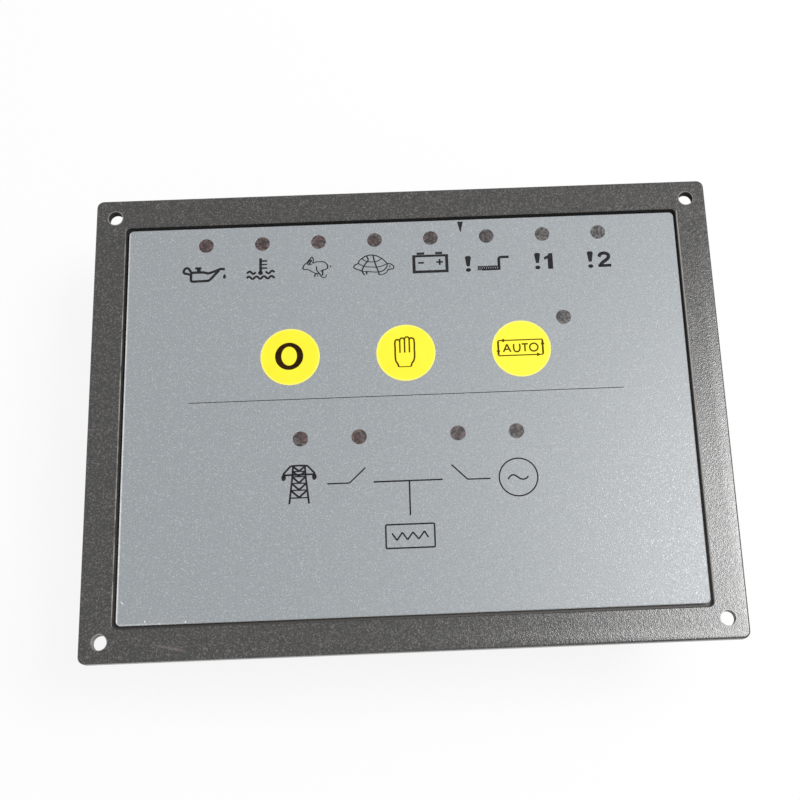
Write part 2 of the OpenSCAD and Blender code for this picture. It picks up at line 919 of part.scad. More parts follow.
module cover_lip() {
    outer_w = inner_w - 2 * lip_clear;
    outer_h = inner_h - 2 * lip_clear;
    difference() {
        union() {
            translate([0, 0, rim_z - lip_h])
                linear_extrude(lip_h)
                    round_rect(inner_w, inner_h, inner_r);
            translate([0, 0, rim_z])
                linear_extrude(lip_h)
                    round_rect(outer_w, outer_h, inner_r);
        }
        translate([0, 0, rim_z - lip_h - over])
            linear_extrude(2 * (lip_h + over))
                round_rect(outer_w - 2 * lip_t, outer_h - 2 * lip_t, inner_r);
    }
}

module vents() {
    for (s = [-1, 1], i = [0:vent_count - 1])
        translate([s * vent_x + (i - (vent_count - 1) / 2) * vent_pitch, 0, -over])
            linear_extrude(wall + 2 * over)
                slot(vent_w, vent_l);
}

module header_slots() {
    slot_h = wall + 2 * over;
    for (t = ROWS)
        translate([t[2], t[3] * plug_y, shoulder_z - over])
            block(row_w(t) + 2 * (header_end + header_clear), header_d + 2 * header_clear, slot_h);
    translate([0, -plug_y, shoulder_z - over])
        block(socket_w + 2 * header_clear, socket_d + 2 * header_clear, slot_h);
}

module rear_cover() color(black_cover) {
    difference() {
        union() {
            difference() {
                cover_outside();
                cover_inside();
            }
            cover_lip();
            at(SCREWS, shoulder_z)
                cylinder(d = tube_d, h = display_back_z - shoulder_z);
        }
        at(SCREWS, shoulder_z - over)
            cylinder(d = pass_d, h = display_back_z - shoulder_z + 2 * over);
        at(SCREWS, shoulder_z - over)
            cylinder(d = head_hole_d, h = over + head_sink + head_h);
        header_slots();
        vents();
    }
}

module cover_screws() color(steel) {
    at(SCREWS, head_seat_z) {
        screw_head();
        cylinder(d = screw_d, h = display_front_z + bite - head_seat_z);
    }
}

bezel();
overlay();
lamp_windows();
stop_key();
manual_key();
auto_key();
stop_plunger();
manual_plunger();
auto_plunger();
stop_switch_stem();
manual_switch_stem();
auto_switch_stem();
stop_switch();
manual_switch();
auto_switch();
fault_lamps();
auto_lamp();
supply_lamps();
lamp_spacers();
display_board();
processor();
crystal();
memory_chip();
link_header();
link_socket();
board_spacers();
board_screws();
power_board();
relays();
capacitors();
choke();
surge_discs();
control_header();
input_header();
mains_header();
contactor_header();
generator_header();
control_plug();
input_plug();
mains_plug();
contactor_plug();
generator_plug();
header_pins();
terminal_screws();
config_socket();
config_pins();
rear_cover();
cover_screws();
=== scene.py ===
# %% [markdown]
# # Genset controller on a white table
# A flat controller for a generating set lies on its back, face up. A black flanged moulding
# carries a silver grey film with round lamp windows, three yellow press keys and printed signs.
# Behind the flange sits a stepped black case with plug-in terminals. The CAD model is loaded as
# a fixed frame in metres, and each cell below dresses one part of it.

# %% Load the frame
import json
import math

import bpy
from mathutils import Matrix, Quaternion, Vector


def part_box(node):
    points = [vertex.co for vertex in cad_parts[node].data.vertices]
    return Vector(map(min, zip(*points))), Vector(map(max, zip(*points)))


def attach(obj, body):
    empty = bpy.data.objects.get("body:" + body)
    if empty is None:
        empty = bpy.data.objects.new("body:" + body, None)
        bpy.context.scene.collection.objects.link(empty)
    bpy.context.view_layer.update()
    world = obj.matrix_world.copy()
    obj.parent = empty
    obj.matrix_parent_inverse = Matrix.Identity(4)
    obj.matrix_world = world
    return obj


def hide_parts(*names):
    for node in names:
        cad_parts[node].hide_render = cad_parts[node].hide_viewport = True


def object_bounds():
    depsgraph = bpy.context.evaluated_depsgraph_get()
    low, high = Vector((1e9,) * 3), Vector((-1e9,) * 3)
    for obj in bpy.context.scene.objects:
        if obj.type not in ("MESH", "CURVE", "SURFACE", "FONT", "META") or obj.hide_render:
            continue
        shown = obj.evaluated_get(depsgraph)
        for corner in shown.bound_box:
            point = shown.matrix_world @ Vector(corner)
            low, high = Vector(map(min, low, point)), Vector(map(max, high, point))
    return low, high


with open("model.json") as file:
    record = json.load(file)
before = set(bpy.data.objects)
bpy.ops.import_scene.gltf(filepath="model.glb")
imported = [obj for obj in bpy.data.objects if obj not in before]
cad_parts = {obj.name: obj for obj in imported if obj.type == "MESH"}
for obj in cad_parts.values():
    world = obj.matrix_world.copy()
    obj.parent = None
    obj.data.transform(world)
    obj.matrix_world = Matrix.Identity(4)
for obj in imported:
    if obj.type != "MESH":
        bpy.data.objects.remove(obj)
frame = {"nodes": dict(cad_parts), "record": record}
cad_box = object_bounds()
nodes = frame["nodes"]
scene = bpy.context.scene
MM = 0.001
print("CAD nodes:", len(nodes), "box in mm:", [round(v / MM, 2) for corner in cad_box for v in corner])

# %% [markdown]
# ## Camera
# The photograph looks down on the face from a little in front of it. The eye, the point aimed at
# and the lens were worked out from the corners, keys and lamps of the face, whose places are
# known. The small shift stands for the cropping of the picture.

# %% Camera
EYE = Vector((7.64, -111.18, 426.94)) * MM
AIM = Vector((12.72, 5.99, 50.2)) * MM
ROLL = math.radians(0.23)
camera_data = bpy.data.cameras.new("camera")
camera_data.sensor_width = 36
camera_data.lens = 58.76
camera_data.shift_x = -0.0614
camera_data.shift_y = -0.0149
camera_data.clip_start = 0.01
camera = bpy.data.objects.new("camera", camera_data)
camera.location = EYE
camera.rotation_mode = "QUATERNION"
camera.rotation_quaternion = (AIM - EYE).to_track_quat("-Z", "Y") @ Quaternion((0, 0, 1), ROLL)
scene.collection.objects.link(camera)
scene.camera = camera
print("camera is", round((AIM - EYE).length / MM), "mm from the face")

# %% [markdown]
# ## Small helpers
# Nodes are easier to read when one call makes a node, sets its values and links its inputs. The
# helpers on top of it mix two colours, stretch a range, make a soft limit, multiply masks and take
# the larger of two values. Another starts a material with its shader, and hands back what the rest
# builds on: the node tree, the shader and the object's own coordinates.

# %% Node helpers
def put(tree, kind, inputs=None, **settings):
    made = tree.nodes.new("ShaderNode" + kind)
    for name, value in settings.items():
        setattr(made, name, value)
    for name, value in (inputs or {}).items():
        if isinstance(value, bpy.types.NodeSocket):
            tree.links.new(value, made.inputs[name])
        else:
            made.inputs[name].default_value = value
    return made


def mix_colour(tree, share, first, second):
    return put(tree, "Mix", {0: share, 6: first, 7: second}, data_type="RGBA").outputs[2]


def remap(tree, value, low, high, to_low, to_high):
    made = put(tree, "MapRange", {"Value": value, "From Min": low, "From Max": high,
                                  "To Min": to_low, "To Max": to_high})
    return made.outputs["Result"]


def past(tree, value, limit, fade):
    return remap(tree, value, limit, limit + fade, 0, 1)


def short_of(tree, value, limit, fade):
    return remap(tree, value, limit, limit + fade, 1, 0)


def times(tree, *values):
    product = values[0]
    for value in values[1:]:
        product = put(tree, "Math", {0: product, 1: value}, operation="MULTIPLY").outputs[0]
    return product


def larger(tree, first, second):
    return put(tree, "Math", {0: first, 1: second}, operation="MAXIMUM").outputs[0]


def start_finish(name, roughness, **sockets):
    finish = bpy.data.materials.new(name)
    finish.use_nodes = True
    tree = finish.node_tree
    shader = tree.nodes["Principled BSDF"]
    shader.inputs["Roughness"].default_value = roughness
    for socket, value in sockets.items():
        shader.inputs[socket.replace("_", " ")].default_value = value
    place = put(tree, "TexCoord").outputs["Object"]
    return finish, tree, shader, place


def colour(red, green, blue):
    return (red, green, blue, 1.0)


print("node helpers ready")

# %% [markdown]
# ## Light, floor and backdrop
# One large soft lamp stands above and to the right, so that its broad sheen falls on the lower
# right of the face, as in the photograph. It is turned a little about its own axis, because the
# square shape of the lamp shows in that sheen. The world fills the rest. The floor and the world are
# white to the camera and in reflections, and the floor keeps a little of the object's shadow.

# %% Lamp
LAMP_PLACE = Vector((0.525, 0.075, 1.0))
LAMP_AIM = Vector((0, 0, 0.05))
LAMP_SPIN = math.radians(10)
lamp_data = bpy.data.lights.new("soft_lamp", "AREA")
lamp_data.shape = "SQUARE"
lamp_data.size = 0.5
lamp_data.energy = 10.2
lamp = bpy.data.objects.new("soft_lamp", lamp_data)
lamp.location = LAMP_PLACE
lamp.rotation_mode = "QUATERNION"
lamp_turn = (LAMP_AIM - LAMP_PLACE).to_track_quat("-Z", "Y")
lamp.rotation_quaternion = lamp_turn @ Quaternion((0, 0, 1), LAMP_SPIN)
scene.collection.objects.link(lamp)
print("lamp is", round((LAMP_AIM - LAMP_PLACE).length, 2), "m away")

# %% World and floor
FILL = 0.44
SHADOW_KEPT = 0.12
FLOOR_SIZE = 6
FLOOR_DROP = 0.05 * MM


def seen_directly(tree):
    path = put(tree, "LightPath").outputs
    shown = larger(tree, path["Is Camera Ray"], path["Is Glossy Ray"])
    return larger(tree, shown, path["Is Transmission Ray"])


scene.view_settings.view_transform = "Standard"
world = bpy.data.worlds.new("white_room")
scene.world = world
world.use_nodes = True
sky = world.node_tree
backdrop = sky.nodes["Background"]
backdrop.inputs["Color"].default_value = colour(1, 1, 1)
sky.links.new(remap(sky, seen_directly(sky), 0, 1, FILL, 1), backdrop.inputs["Strength"])

bpy.ops.object.select_all(action="DESELECT")
bpy.ops.mesh.primitive_plane_add(size=FLOOR_SIZE, location=(0, 0, -FLOOR_DROP))
floor = bpy.context.object
floor.name = "floor"
white_floor, tree, shader, place = start_finish("white_floor", 0.9)
shader.inputs["Base Color"].default_value = colour(0.9, 0.9, 0.9)
shader.inputs["Specular IOR Level"].default_value = 0
glow = put(tree, "Emission", {"Strength": 1.0})
blend = put(tree, "MixShader", {0: remap(tree, seen_directly(tree), 0, 1, 0, 1 - SHADOW_KEPT),
                                1: shader.outputs[0], 2: glow.outputs[0]})
tree.links.new(blend.outputs[0], tree.nodes["Material Output"].inputs["Surface"])
floor.data.materials.append(white_floor)
print("world and floor made, fill", FILL)

# %% [markdown]
# ## Shared surface effects
# Moulded plastic, film, metal and ink share a few effects: a fine grain, faint cloudy differences
# in tone and some brighter specks. The front moulding is rougher, like sand. These come from one
# node group each, with their sizes as inputs, so that each finish can place them at its own scale.

# %% Grain, cloud, speck and sand groups
NOISE_LOW, NOISE_HIGH = 0.3, 0.7


def start_group(name, inputs, outputs):
    group = bpy.data.node_groups.new(name, "ShaderNodeTree")
    for socket, value in inputs.items():
        kind = "NodeSocketVector" if socket == "Vector" else "NodeSocketFloat"
        made = group.interface.new_socket(socket, in_out="INPUT", socket_type=kind)
        if value is not None:
            made.default_value = value
    for socket in outputs:
        group.interface.new_socket(socket, in_out="OUTPUT", socket_type="NodeSocketFloat")
    return group, group.nodes.new("NodeGroupInput").outputs, group.nodes.new("NodeGroupOutput").inputs


grain_group, given, result = start_group(
    "fine_grain", {"Vector": None, "Scale": 3000.0, "Detail": 2.0}, ["Height"])
grain_noise = put(grain_group, "TexNoise", {"Vector": given["Vector"], "Scale": given["Scale"],
                                            "Detail": given["Detail"], "Roughness": 0.6})
grain_group.links.new(grain_noise.outputs[0], result["Height"])

cloud_group, given, result = start_group("soft_clouds", {"Vector": None, "Scale": 60.0}, ["Tone"])
cloud_noise = put(cloud_group, "TexNoise", {"Vector": given["Vector"], "Scale": given["Scale"],
                                            "Detail": 4.0, "Roughness": 0.55})
cloud_tone = remap(cloud_group, cloud_noise.outputs[0], NOISE_LOW, NOISE_HIGH, 0, 1)
cloud_group.links.new(cloud_tone, result["Tone"])

speck_group, given, result = start_group(
    "bright_specks", {"Vector": None, "Scale": 2500.0, "Share": 0.1}, ["Mask"])
cells = put(speck_group, "TexVoronoi", {"Vector": given["Vector"], "Scale": given["Scale"]})
level = put(speck_group, "SeparateColor", {"Color": cells.outputs["Color"]})
chosen = put(speck_group, "Math", {0: level.outputs[0], 1: given["Share"]}, operation="LESS_THAN")
middle = remap(speck_group, cells.outputs["Distance"], 0.2, 0.5, 1, 0)
speck_group.links.new(times(speck_group, chosen.outputs[0], middle), result["Mask"])

sand_group, given, result = start_group(
    "eroded_sand", {"Vector": None, "Scale": 2600.0}, ["Height", "Tone", "Polish"])
grains = put(sand_group, "TexVoronoi", {"Vector": given["Vector"], "Scale": given["Scale"]})
draw = put(sand_group, "SeparateColor", {"Color": grains.outputs["Color"]})
rare = put(sand_group, "Math", {0: draw.outputs[0], 1: 4.0}, operation="POWER")
sand_group.links.new(grains.outputs["Distance"], result["Height"])
sand_group.links.new(rare.outputs[0], result["Tone"])
sand_group.links.new(draw.outputs[1], result["Polish"])


def place_group(tree, group, place, **values):
    made = put(tree, "Group", node_tree=group)
    tree.links.new(place, made.inputs["Vector"])
    for name, value in values.items():
        made.inputs[name].default_value = value
    return made.outputs


def use_group(tree, group, place, **values):
    return place_group(tree, group, place, **values)[0]


def add_bump(tree, shader, height, distance):
    bump = put(tree, "Bump", {"Height": height, "Distance": distance, "Strength": 1.0})
    tree.links.new(bump.outputs[0], shader.inputs["Normal"])


print("groups:", [group.name for group in bpy.data.node_groups])

# %% [markdown]
# ## Moulded plastics
# The case behind the panel is black plastic with a faint grain. Connectors, spacers, switches,
# relays and lamps are other colours of moulded plastic. Only their colours, gloss and grain
# differ, so one function makes them all.

# %% Plastic finishes
FINISH = {}


def plastic(slot, dark, light, roughness, grain, depth):
    finish, tree, shader, place = start_finish(slot + "_finish", roughness)
    tone = use_group(tree, cloud_group, place, Scale=90.0)
    height = use_group(tree, grain_group, place, Scale=grain)
    base = mix_colour(tree, remap(tree, height, NOISE_LOW, NOISE_HIGH, 0, 1), dark, light)
    tree.links.new(base, shader.inputs["Base Color"])
    tree.links.new(remap(tree, tone, 0, 1, roughness - 0.03, roughness + 0.04), shader.inputs["Roughness"])
    add_bump(tree, shader, height, depth)
    FINISH[slot] = finish


plastic("cover", colour(0.018, 0.018, 0.018), colour(0.027, 0.027, 0.027), 0.42, 1500.0, 0.00003)
plastic("ivory_plastic", colour(0.64, 0.60, 0.50), colour(0.71, 0.67, 0.58), 0.45, 900.0, 0.00002)
plastic("switch_body", colour(0.05, 0.05, 0.055), colour(0.07, 0.07, 0.075), 0.4, 1200.0, 0.00002)
plastic("chip", colour(0.012, 0.012, 0.013), colour(0.02, 0.02, 0.021), 0.5, 1800.0, 0.00002)
plastic("relay_case", colour(0.50, 0.12, 0.025), colour(0.60, 0.16, 0.035), 0.28, 700.0, 0.00001)
plastic("blue_sleeve", colour(0.025, 0.05, 0.17), colour(0.035, 0.07, 0.22), 0.25, 500.0, 0.00001)
plastic("green_plug", colour(0.022, 0.21, 0.075), colour(0.036, 0.28, 0.10), 0.4, 1300.0, 0.00002)
plastic("red_lamp", colour(0.40, 0.02, 0.015), colour(0.52, 0.04, 0.025), 0.12, 300.0, 0.000003)
plastic("green_lamp", colour(0.04, 0.28, 0.08), colour(0.06, 0.36, 0.11), 0.12, 300.0, 0.000003)
print("plastics:", sorted(FINISH))

# %% [markdown]
# ## The front moulding
# The flange has a sandy, eroded texture that breaks the lamp's sheen into small bright grains: each
# grain has its own tone, polish and slope, and a slow swell makes the sheen patchy. An image could
# carry the marks of use and the painted highlights and shade, but masks on the object's own
# coordinates stay sharp at any size. Each is a product of soft limits, and each cell below mixes its
# marks over the base of the cell before.

# %% Places on the front moulding
film_low, film_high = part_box("overlay")
FLANGE_X, FLANGE_Y, FACE_Z = cad_box[1]
FILM_GAP, HALF_CHAMFER, CORNER_ROOM = 0.95 * MM, 0.15 * MM, 0.45 * MM
RIM_X = film_high.x + FILM_GAP + HALF_CHAMFER
RIM_Y = film_high.y + FILM_GAP + HALF_CHAMFER
RIM_END = RIM_Y - CORNER_ROOM
RIM_FOOT, GUTTER_TOP, WALL_FOOT, GUTTER_FOOT = [FACE_Z - depth * MM for depth in (0.4, 1.0, 1.9, 2.7)]
FIX_INSET, HOLE_R, HOLE_EASE = 6 * MM, 2.2 * MM, 0.2 * MM
HOLE_X, HOLE_Y = FLANGE_X - FIX_INSET, FLANGE_Y - FIX_INSET
FADE, END_FADE = 0.1 * MM, 1 * MM
print("rim of the recess in mm:", round(RIM_X / MM, 2), round(RIM_Y / MM, 2))

# %% Sand and sheen
BEZEL_GLOSS, POLISH_REACH = 0.225, 0.065
SAND_SHARE, SWELL_SHARE = 0.75, 0.8
finish, tree, shader, place = start_finish("bezel_finish", BEZEL_GLOSS, Specular_IOR_Level=0.85)
FINISH["bezel"] = finish
sand = place_group(tree, sand_group, place, Scale=3200.0)
clouds = use_group(tree, cloud_group, place, Scale=160.0)
base = mix_colour(tree, sand["Tone"], colour(0.004, 0.004, 0.0038), colour(0.112, 0.102, 0.095))
polish = remap(tree, sand["Polish"], 0, 1, BEZEL_GLOSS - POLISH_REACH, BEZEL_GLOSS + POLISH_REACH)
uneven = remap(tree, use_group(tree, cloud_group, place, Scale=900.0), 0, 1, 0.8, 1.2)
swell = use_group(tree, grain_group, place, Scale=1000.0, Detail=1.0)
height = put(tree, "Math", {0: times(tree, sand["Height"], SAND_SHARE),
                            1: times(tree, swell, SWELL_SHARE)}, operation="ADD")
add_bump(tree, shader, height.outputs[0], 0.00003)
print("sand finish started")

# %% [markdown]
# ### Marks of use and painted light on the front moulding
# The rim of the recess carries a painted highlight, pale on the left and right, as do the rims of the
# fixing holes, and there is one scuff below the film. The walls of the holes carry painted shade: dark
# at the top of the face and painted lighter towards its foot. The gutter round the film is painted
# shade, lighter towards the lower right, and the right wall of the recess has a painted highlight.

# %% Painted rim highlight and scuff
RIM_HIGHLIGHT, RIM_HIGHLIGHT_FADE = 0.06 * MM, 0.14 * MM


def streak(tree, place, x, y, turn, half_length, half_width):
    near = put(tree, "Mapping", {"Vector": place, "Location": (x * MM, y * MM, 0),
                                 "Rotation": (0, 0, math.radians(turn)),
                                 "Scale": (half_length * MM, half_width * MM, 1)}, vector_type="TEXTURE")
    away = put(tree, "VectorMath", {0: near.outputs[0]}, operation="LENGTH")
    return remap(tree, away.outputs["Value"], 0.4, 1, 1, 0)


corner = put(tree, "VectorMath", {0: place}, operation="ABSOLUTE").outputs[0]
axes = put(tree, "SeparateXYZ", {0: corner}).outputs
beside = put(tree, "Math", {0: axes["X"], 1: RIM_X}, operation="SUBTRACT").outputs[0]
beside = put(tree, "Math", {0: beside}, operation="ABSOLUTE").outputs[0]
along_rim = short_of(tree, axes["Y"], RIM_END - END_FADE, END_FADE)
# painted highlight: a thin pale line along the rim of the recess on the left and right
rim_highlight = times(tree, short_of(tree, beside, RIM_HIGHLIGHT, RIM_HIGHLIGHT_FADE), along_rim,
             past(tree, axes["Z"], RIM_FOOT, FADE), remap(tree, clouds, 0.1, 0.9, 0.1, 1))
base = mix_colour(tree, rim_highlight, base, colour(0.30, 0.29, 0.27))
scuff = times(tree, streak(tree, place, -69.4, -68.4, -12, 5.6, 0.5), clouds)
base = mix_colour(tree, scuff, base, colour(0.17, 0.135, 0.13))
# the width printed is that of the painted highlight along the rim
print("rim rubbed over", round(2 * RIM_HIGHLIGHT / MM, 2), "mm")

# %% Fixing holes, gutter and right wall
BLACK, PAINTED_LIGHT = colour(0.004, 0.004, 0.004), colour(0.30, 0.29, 0.28)
signed = put(tree, "SeparateXYZ", {0: place}).outputs
to_right, to_top = signed["X"], signed["Y"]
flat = put(tree, "VectorMath", {0: corner, 1: (1, 1, 0)}, operation="MULTIPLY").outputs[0]
from_hole = put(tree, "VectorMath", {0: flat, 1: (HOLE_X, HOLE_Y, 0)}, operation="DISTANCE")
in_hole = short_of(tree, from_hole.outputs["Value"], HOLE_R + HOLE_EASE, FADE)
hole_rim = past(tree, axes["Z"], RIM_FOOT + HOLE_EASE, FADE)
hole_wall = times(tree, in_hole, remap(tree, hole_rim, 0, 1, 1, 0))
# painted highlight: the rims of the fixing holes are painted pale where light catches them
base = mix_colour(tree, times(tree, in_hole, hole_rim, clouds), base, PAINTED_LIGHT)

# painted shade: the gutter round the film is painted dark, and lighter towards the lower right
gutter = times(tree, short_of(tree, axes["X"], RIM_X, FADE), short_of(tree, axes["Y"], RIM_Y, FADE),
               past(tree, axes["Z"], GUTTER_FOOT - FADE, FADE),
               short_of(tree, axes["Z"], GUTTER_TOP, 2 * FADE))
gutter_light_share = times(tree, remap(tree, to_right, -HOLE_X, HOLE_X, 0.3, 1),
              remap(tree, to_top, -RIM_Y, RIM_Y, 1, 0))
deep = mix_colour(tree, gutter_light_share, BLACK, colour(0.16, 0.15, 0.145))
base = mix_colour(tree, gutter, base, deep)
# painted shade and light: the hole walls are painted dark at the top of the face and lighter towards its
# foot
hole_light_and_shade = mix_colour(tree, remap(tree, to_top, -HOLE_Y, HOLE_Y, 1, 0), BLACK, PAINTED_LIGHT)
base = mix_colour(tree, hole_wall, base, hole_light_and_shade)

# painted highlight: the right wall of the recess is painted bright where the lamp lights it
painted_wall_highlight = times(tree, past(tree, to_right, RIM_X - 2.5 * FADE, FADE / 2),
                    short_of(tree, beside, FADE, FADE), along_rim,
                    past(tree, axes["Z"], WALL_FOOT, 2 * FADE))
base = mix_colour(tree, painted_wall_highlight, base, colour(0.42, 0.41, 0.39))
hollow = larger(tree, hole_wall, gutter)
tree.links.new(base, shader.inputs["Base Color"])
tree.links.new(larger(tree, times(tree, polish, uneven), hollow), shader.inputs["Roughness"])
print("front moulding finish made")

# %% [markdown]
# ## Metals, windings and boards
# Screws and pins are plated metal, a little uneven in tone. The choke is wound with lacquered
# wire, which a wave texture gives as close ridges. The boards are green lacquer with paler
# copper tracks under it, from a brick pattern that runs in two directions.

# %% Metal, winding and board finishes
def metal(slot, dull, bright, roughness):
    finish, tree, shader, place = start_finish(slot + "_finish", roughness, Metallic=1.0)
    tone = use_group(tree, cloud_group, place, Scale=400.0)
    tree.links.new(mix_colour(tree, tone, dull, bright), shader.inputs["Base Color"])
    tree.links.new(remap(tree, tone, 0, 1, roughness - 0.06, roughness + 0.08), shader.inputs["Roughness"])
    add_bump(tree, shader, use_group(tree, grain_group, place, Scale=4000.0), 0.000006)
    FINISH[slot] = finish


metal("plated_steel", colour(0.48, 0.49, 0.50), colour(0.62, 0.63, 0.64), 0.3)
metal("brass", colour(0.52, 0.37, 0.14), colour(0.66, 0.50, 0.21), 0.28)

finish, tree, shader, place = start_finish("winding_finish", 0.3)
ridges = put(tree, "TexWave", {"Vector": place, "Scale": 500.0, "Distortion": 1.0})
tree.links.new(mix_colour(tree, ridges.outputs["Fac"], colour(0.24, 0.10, 0.03), colour(0.50, 0.25, 0.08)),
               shader.inputs["Base Color"])
add_bump(tree, shader, ridges.outputs["Fac"], 0.0002)
FINISH["winding"] = finish

finish, tree, shader, place = start_finish("board_finish", 0.32)
tracks = put(tree, "TexBrick", {"Vector": place, "Scale": 220.0, "Mortar Size": 0.025,
                                "Color1": colour(0.018, 0.115, 0.05), "Color2": colour(0.022, 0.14, 0.065),
                                "Mortar": colour(0.05, 0.23, 0.10)})
tree.links.new(tracks.outputs["Color"], shader.inputs["Base Color"])
add_bump(tree, shader, tracks.outputs["Fac"], 0.00003)
FINISH["board"] = finish
print("finishes so far:", len(FINISH))

# %% [markdown]
# ## Film, windows, keys and ink
# The film is a silver grey print under a matt coat, with flakes that sparkle. It is worn pale along
# its left margin and the left end of its lower one, with a few short scratches. The lamp windows are
# a smoked print, darker in the middle and reddish on the left, where red lamps show through. The keys
# are clear yellow, and paler round the rim. A cylinder's own UV map has its top in a circle, so the
# distance from that circle's middle shades windows and keys alike. The ink is slightly uneven, as
# screen print is: black on the film, and brown on the keys, where it lies under the yellow.

# %% Film finish
MARGIN, MARGIN_FADE, LOW_MARGIN_REACH = 0.32 * MM, 0.3 * MM, 25 * MM
SCRATCHES = ((-83.85, -55.0, -45, 0.8, 0.17), (-77.2, -60.5, -60, 0.45, 0.22),
             (-72.9, -61.3, 0, 0.3, 0.2), (-65.5, -61.0, -70, 0.4, 0.24))
finish, tree, shader, place = start_finish("film_finish", 0.34, Specular_IOR_Level=0.75)
FINISH["film"] = finish
height = use_group(tree, grain_group, place, Scale=2800.0)
base = mix_colour(tree, remap(tree, height, NOISE_LOW, NOISE_HIGH, 0, 1),
                  colour(0.212, 0.232, 0.249), colour(0.325, 0.348, 0.366))
flakes = use_group(tree, speck_group, place, Scale=2400.0, Share=0.2)
base = mix_colour(tree, flakes, base, colour(0.47, 0.49, 0.51))
margin_x, margin_y = film_low.x + MARGIN, film_low.y + MARGIN
axes = put(tree, "SeparateXYZ", {0: place}).outputs
left_margin = times(tree, short_of(tree, axes["X"], margin_x, MARGIN_FADE),
                    remap(tree, axes["Y"], film_low.y / 2, film_high.y, 1, 0.4))
low_margin = times(tree, short_of(tree, axes["Y"], margin_y, MARGIN_FADE),
                   remap(tree, axes["X"], margin_x, margin_x + LOW_MARGIN_REACH, 0.5, 0))
patchy = remap(tree, use_group(tree, cloud_group, place, Scale=500.0), 0, 1, 0.35, 1)
margin = times(tree, larger(tree, left_margin, low_margin), patchy)
base = mix_colour(tree, margin, base, colour(0.84, 0.85, 0.85))
for x, y, turn, half_length, half_width in SCRATCHES:
    scratch = streak(tree, place, x, y, turn, half_length, half_width)
    base = mix_colour(tree, scratch, base, colour(0.82, 0.82, 0.81))
glint = use_group(tree, grain_group, place, Scale=1900.0)
gloss = times(tree, remap(tree, glint, NOISE_LOW, NOISE_HIGH, 0.25, 0.45),
              remap(tree, flakes, 0, 1, 1, 0.5))
tree.links.new(base, shader.inputs["Base Color"])
tree.links.new(gloss, shader.inputs["Roughness"])
add_bump(tree, shader, height, 0.000035)

film_edge_finish, tree, shader, place = start_finish("film_edge_finish", 0.5)
tone = use_group(tree, cloud_group, place, Scale=300.0)
tree.links.new(mix_colour(tree, tone, colour(0.72, 0.73, 0.72), colour(0.93, 0.93, 0.91)),
               shader.inputs["Base Color"])
print("film finish made, with", len(SCRATCHES), "scratches")

# %% Window and key finishes
CAP_MIDDLE, CAP_R = (0.25, 0.25, 0), 0.24
RED_LIMIT, RED_FADE = -10 * MM, 60 * MM
DEEP_LIMIT, DEEP_END = 30 * MM, 60 * MM


def from_cap_middle(tree):
    cap = put(tree, "TexCoord").outputs["UV"]
    return put(tree, "VectorMath", {0: cap, 1: CAP_MIDDLE}, operation="DISTANCE").outputs["Value"]


finish, tree, shader, place = start_finish("window_finish", 0.4)
FINISH["smoked_film"] = finish
mottle = use_group(tree, grain_group, place, Scale=1300.0)
across = put(tree, "SeparateXYZ", {0: place}).outputs["X"]
red = times(tree, short_of(tree, across, RED_LIMIT, RED_FADE),
            use_group(tree, cloud_group, place, Scale=220.0))
smoke = mix_colour(tree, red, colour(0.012, 0.012, 0.013), colour(0.020, 0.008, 0.008))
pale = mix_colour(tree, red, colour(0.122, 0.112, 0.110), colour(0.158, 0.066, 0.066))
pane = mix_colour(tree, remap(tree, mottle, 0.44, 0.59, 0, 1), smoke, pale)
deep = times(tree, remap(tree, from_cap_middle(tree), 0.1 * CAP_R, 0.9 * CAP_R, 0.7, 0),
             remap(tree, across, DEEP_LIMIT, DEEP_END, 1, 0.1))
tree.links.new(mix_colour(tree, deep, pane, colour(0.014, 0.012, 0.012)), shader.inputs["Base Color"])
add_bump(tree, shader, use_group(tree, grain_group, place, Scale=2400.0), 0.00002)

finish, tree, shader, place = start_finish("key_finish", 0.42)
FINISH["yellow_film"] = finish
tone = use_group(tree, cloud_group, place, Scale=120.0)
yellow = mix_colour(tree, tone, colour(0.91, 0.79, 0.012), colour(0.95, 0.84, 0.022))
rim = remap(tree, from_cap_middle(tree), 0.93 * CAP_R, 0.98 * CAP_R, 0, 0.8)
tree.links.new(mix_colour(tree, rim, yellow, colour(0.93, 0.86, 0.20)), shader.inputs["Base Color"])
add_bump(tree, shader, use_group(tree, grain_group, place, Scale=2000.0), 0.00001)
print("finishes:", len(FINISH))

# %% Inks, and a finish for every node
def ink(name, thick, thin, shine):
    finish, tree, shader, place = start_finish(name, 0.6, Specular_IOR_Level=shine)
    tone = use_group(tree, cloud_group, place, Scale=900.0)
    tree.links.new(mix_colour(tree, tone, thick, thin), shader.inputs["Base Color"])
    return finish


ink_finish = ink("ink_finish", colour(0.006, 0.006, 0.007), colour(0.024, 0.024, 0.026), 0.12)
key_ink_finish = ink("key_ink_finish", colour(0.014, 0.006, 0.002), colour(0.04, 0.018, 0.006), 0.03)
fine_ink_finish = ink("fine_ink_finish", colour(0.045, 0.024, 0.001), colour(0.12, 0.07, 0.003), 0.03)

slot_of = {row["node"]: row["material_slot"] for row in frame["record"]["subparts"]}
for name, node in nodes.items():
    node.data.materials.clear()
    node.data.materials.append(FINISH[slot_of[name]])
print("nodes with a finish:", len(slot_of))

# %% [markdown]
# ## Modelling helpers
# Operators act on what is selected, so each step first clears the selection and takes up one
# object. Edges are picked in code by where they lie. Finished pieces have their place in their
# mesh: the transform is applied before the piece is handed to the frame.

# %% Modelling helpers
def take(*pieces):
    bpy.ops.object.select_all(action="DESELECT")
    for piece in pieces:
        piece.select_set(True)
    bpy.context.view_layer.objects.active = pieces[0]


def settle(piece, name):
    take(piece)
    bpy.ops.object.transform_apply(location=True, rotation=True, scale=True)
    piece.name = name
    piece.data.name = name
    return piece


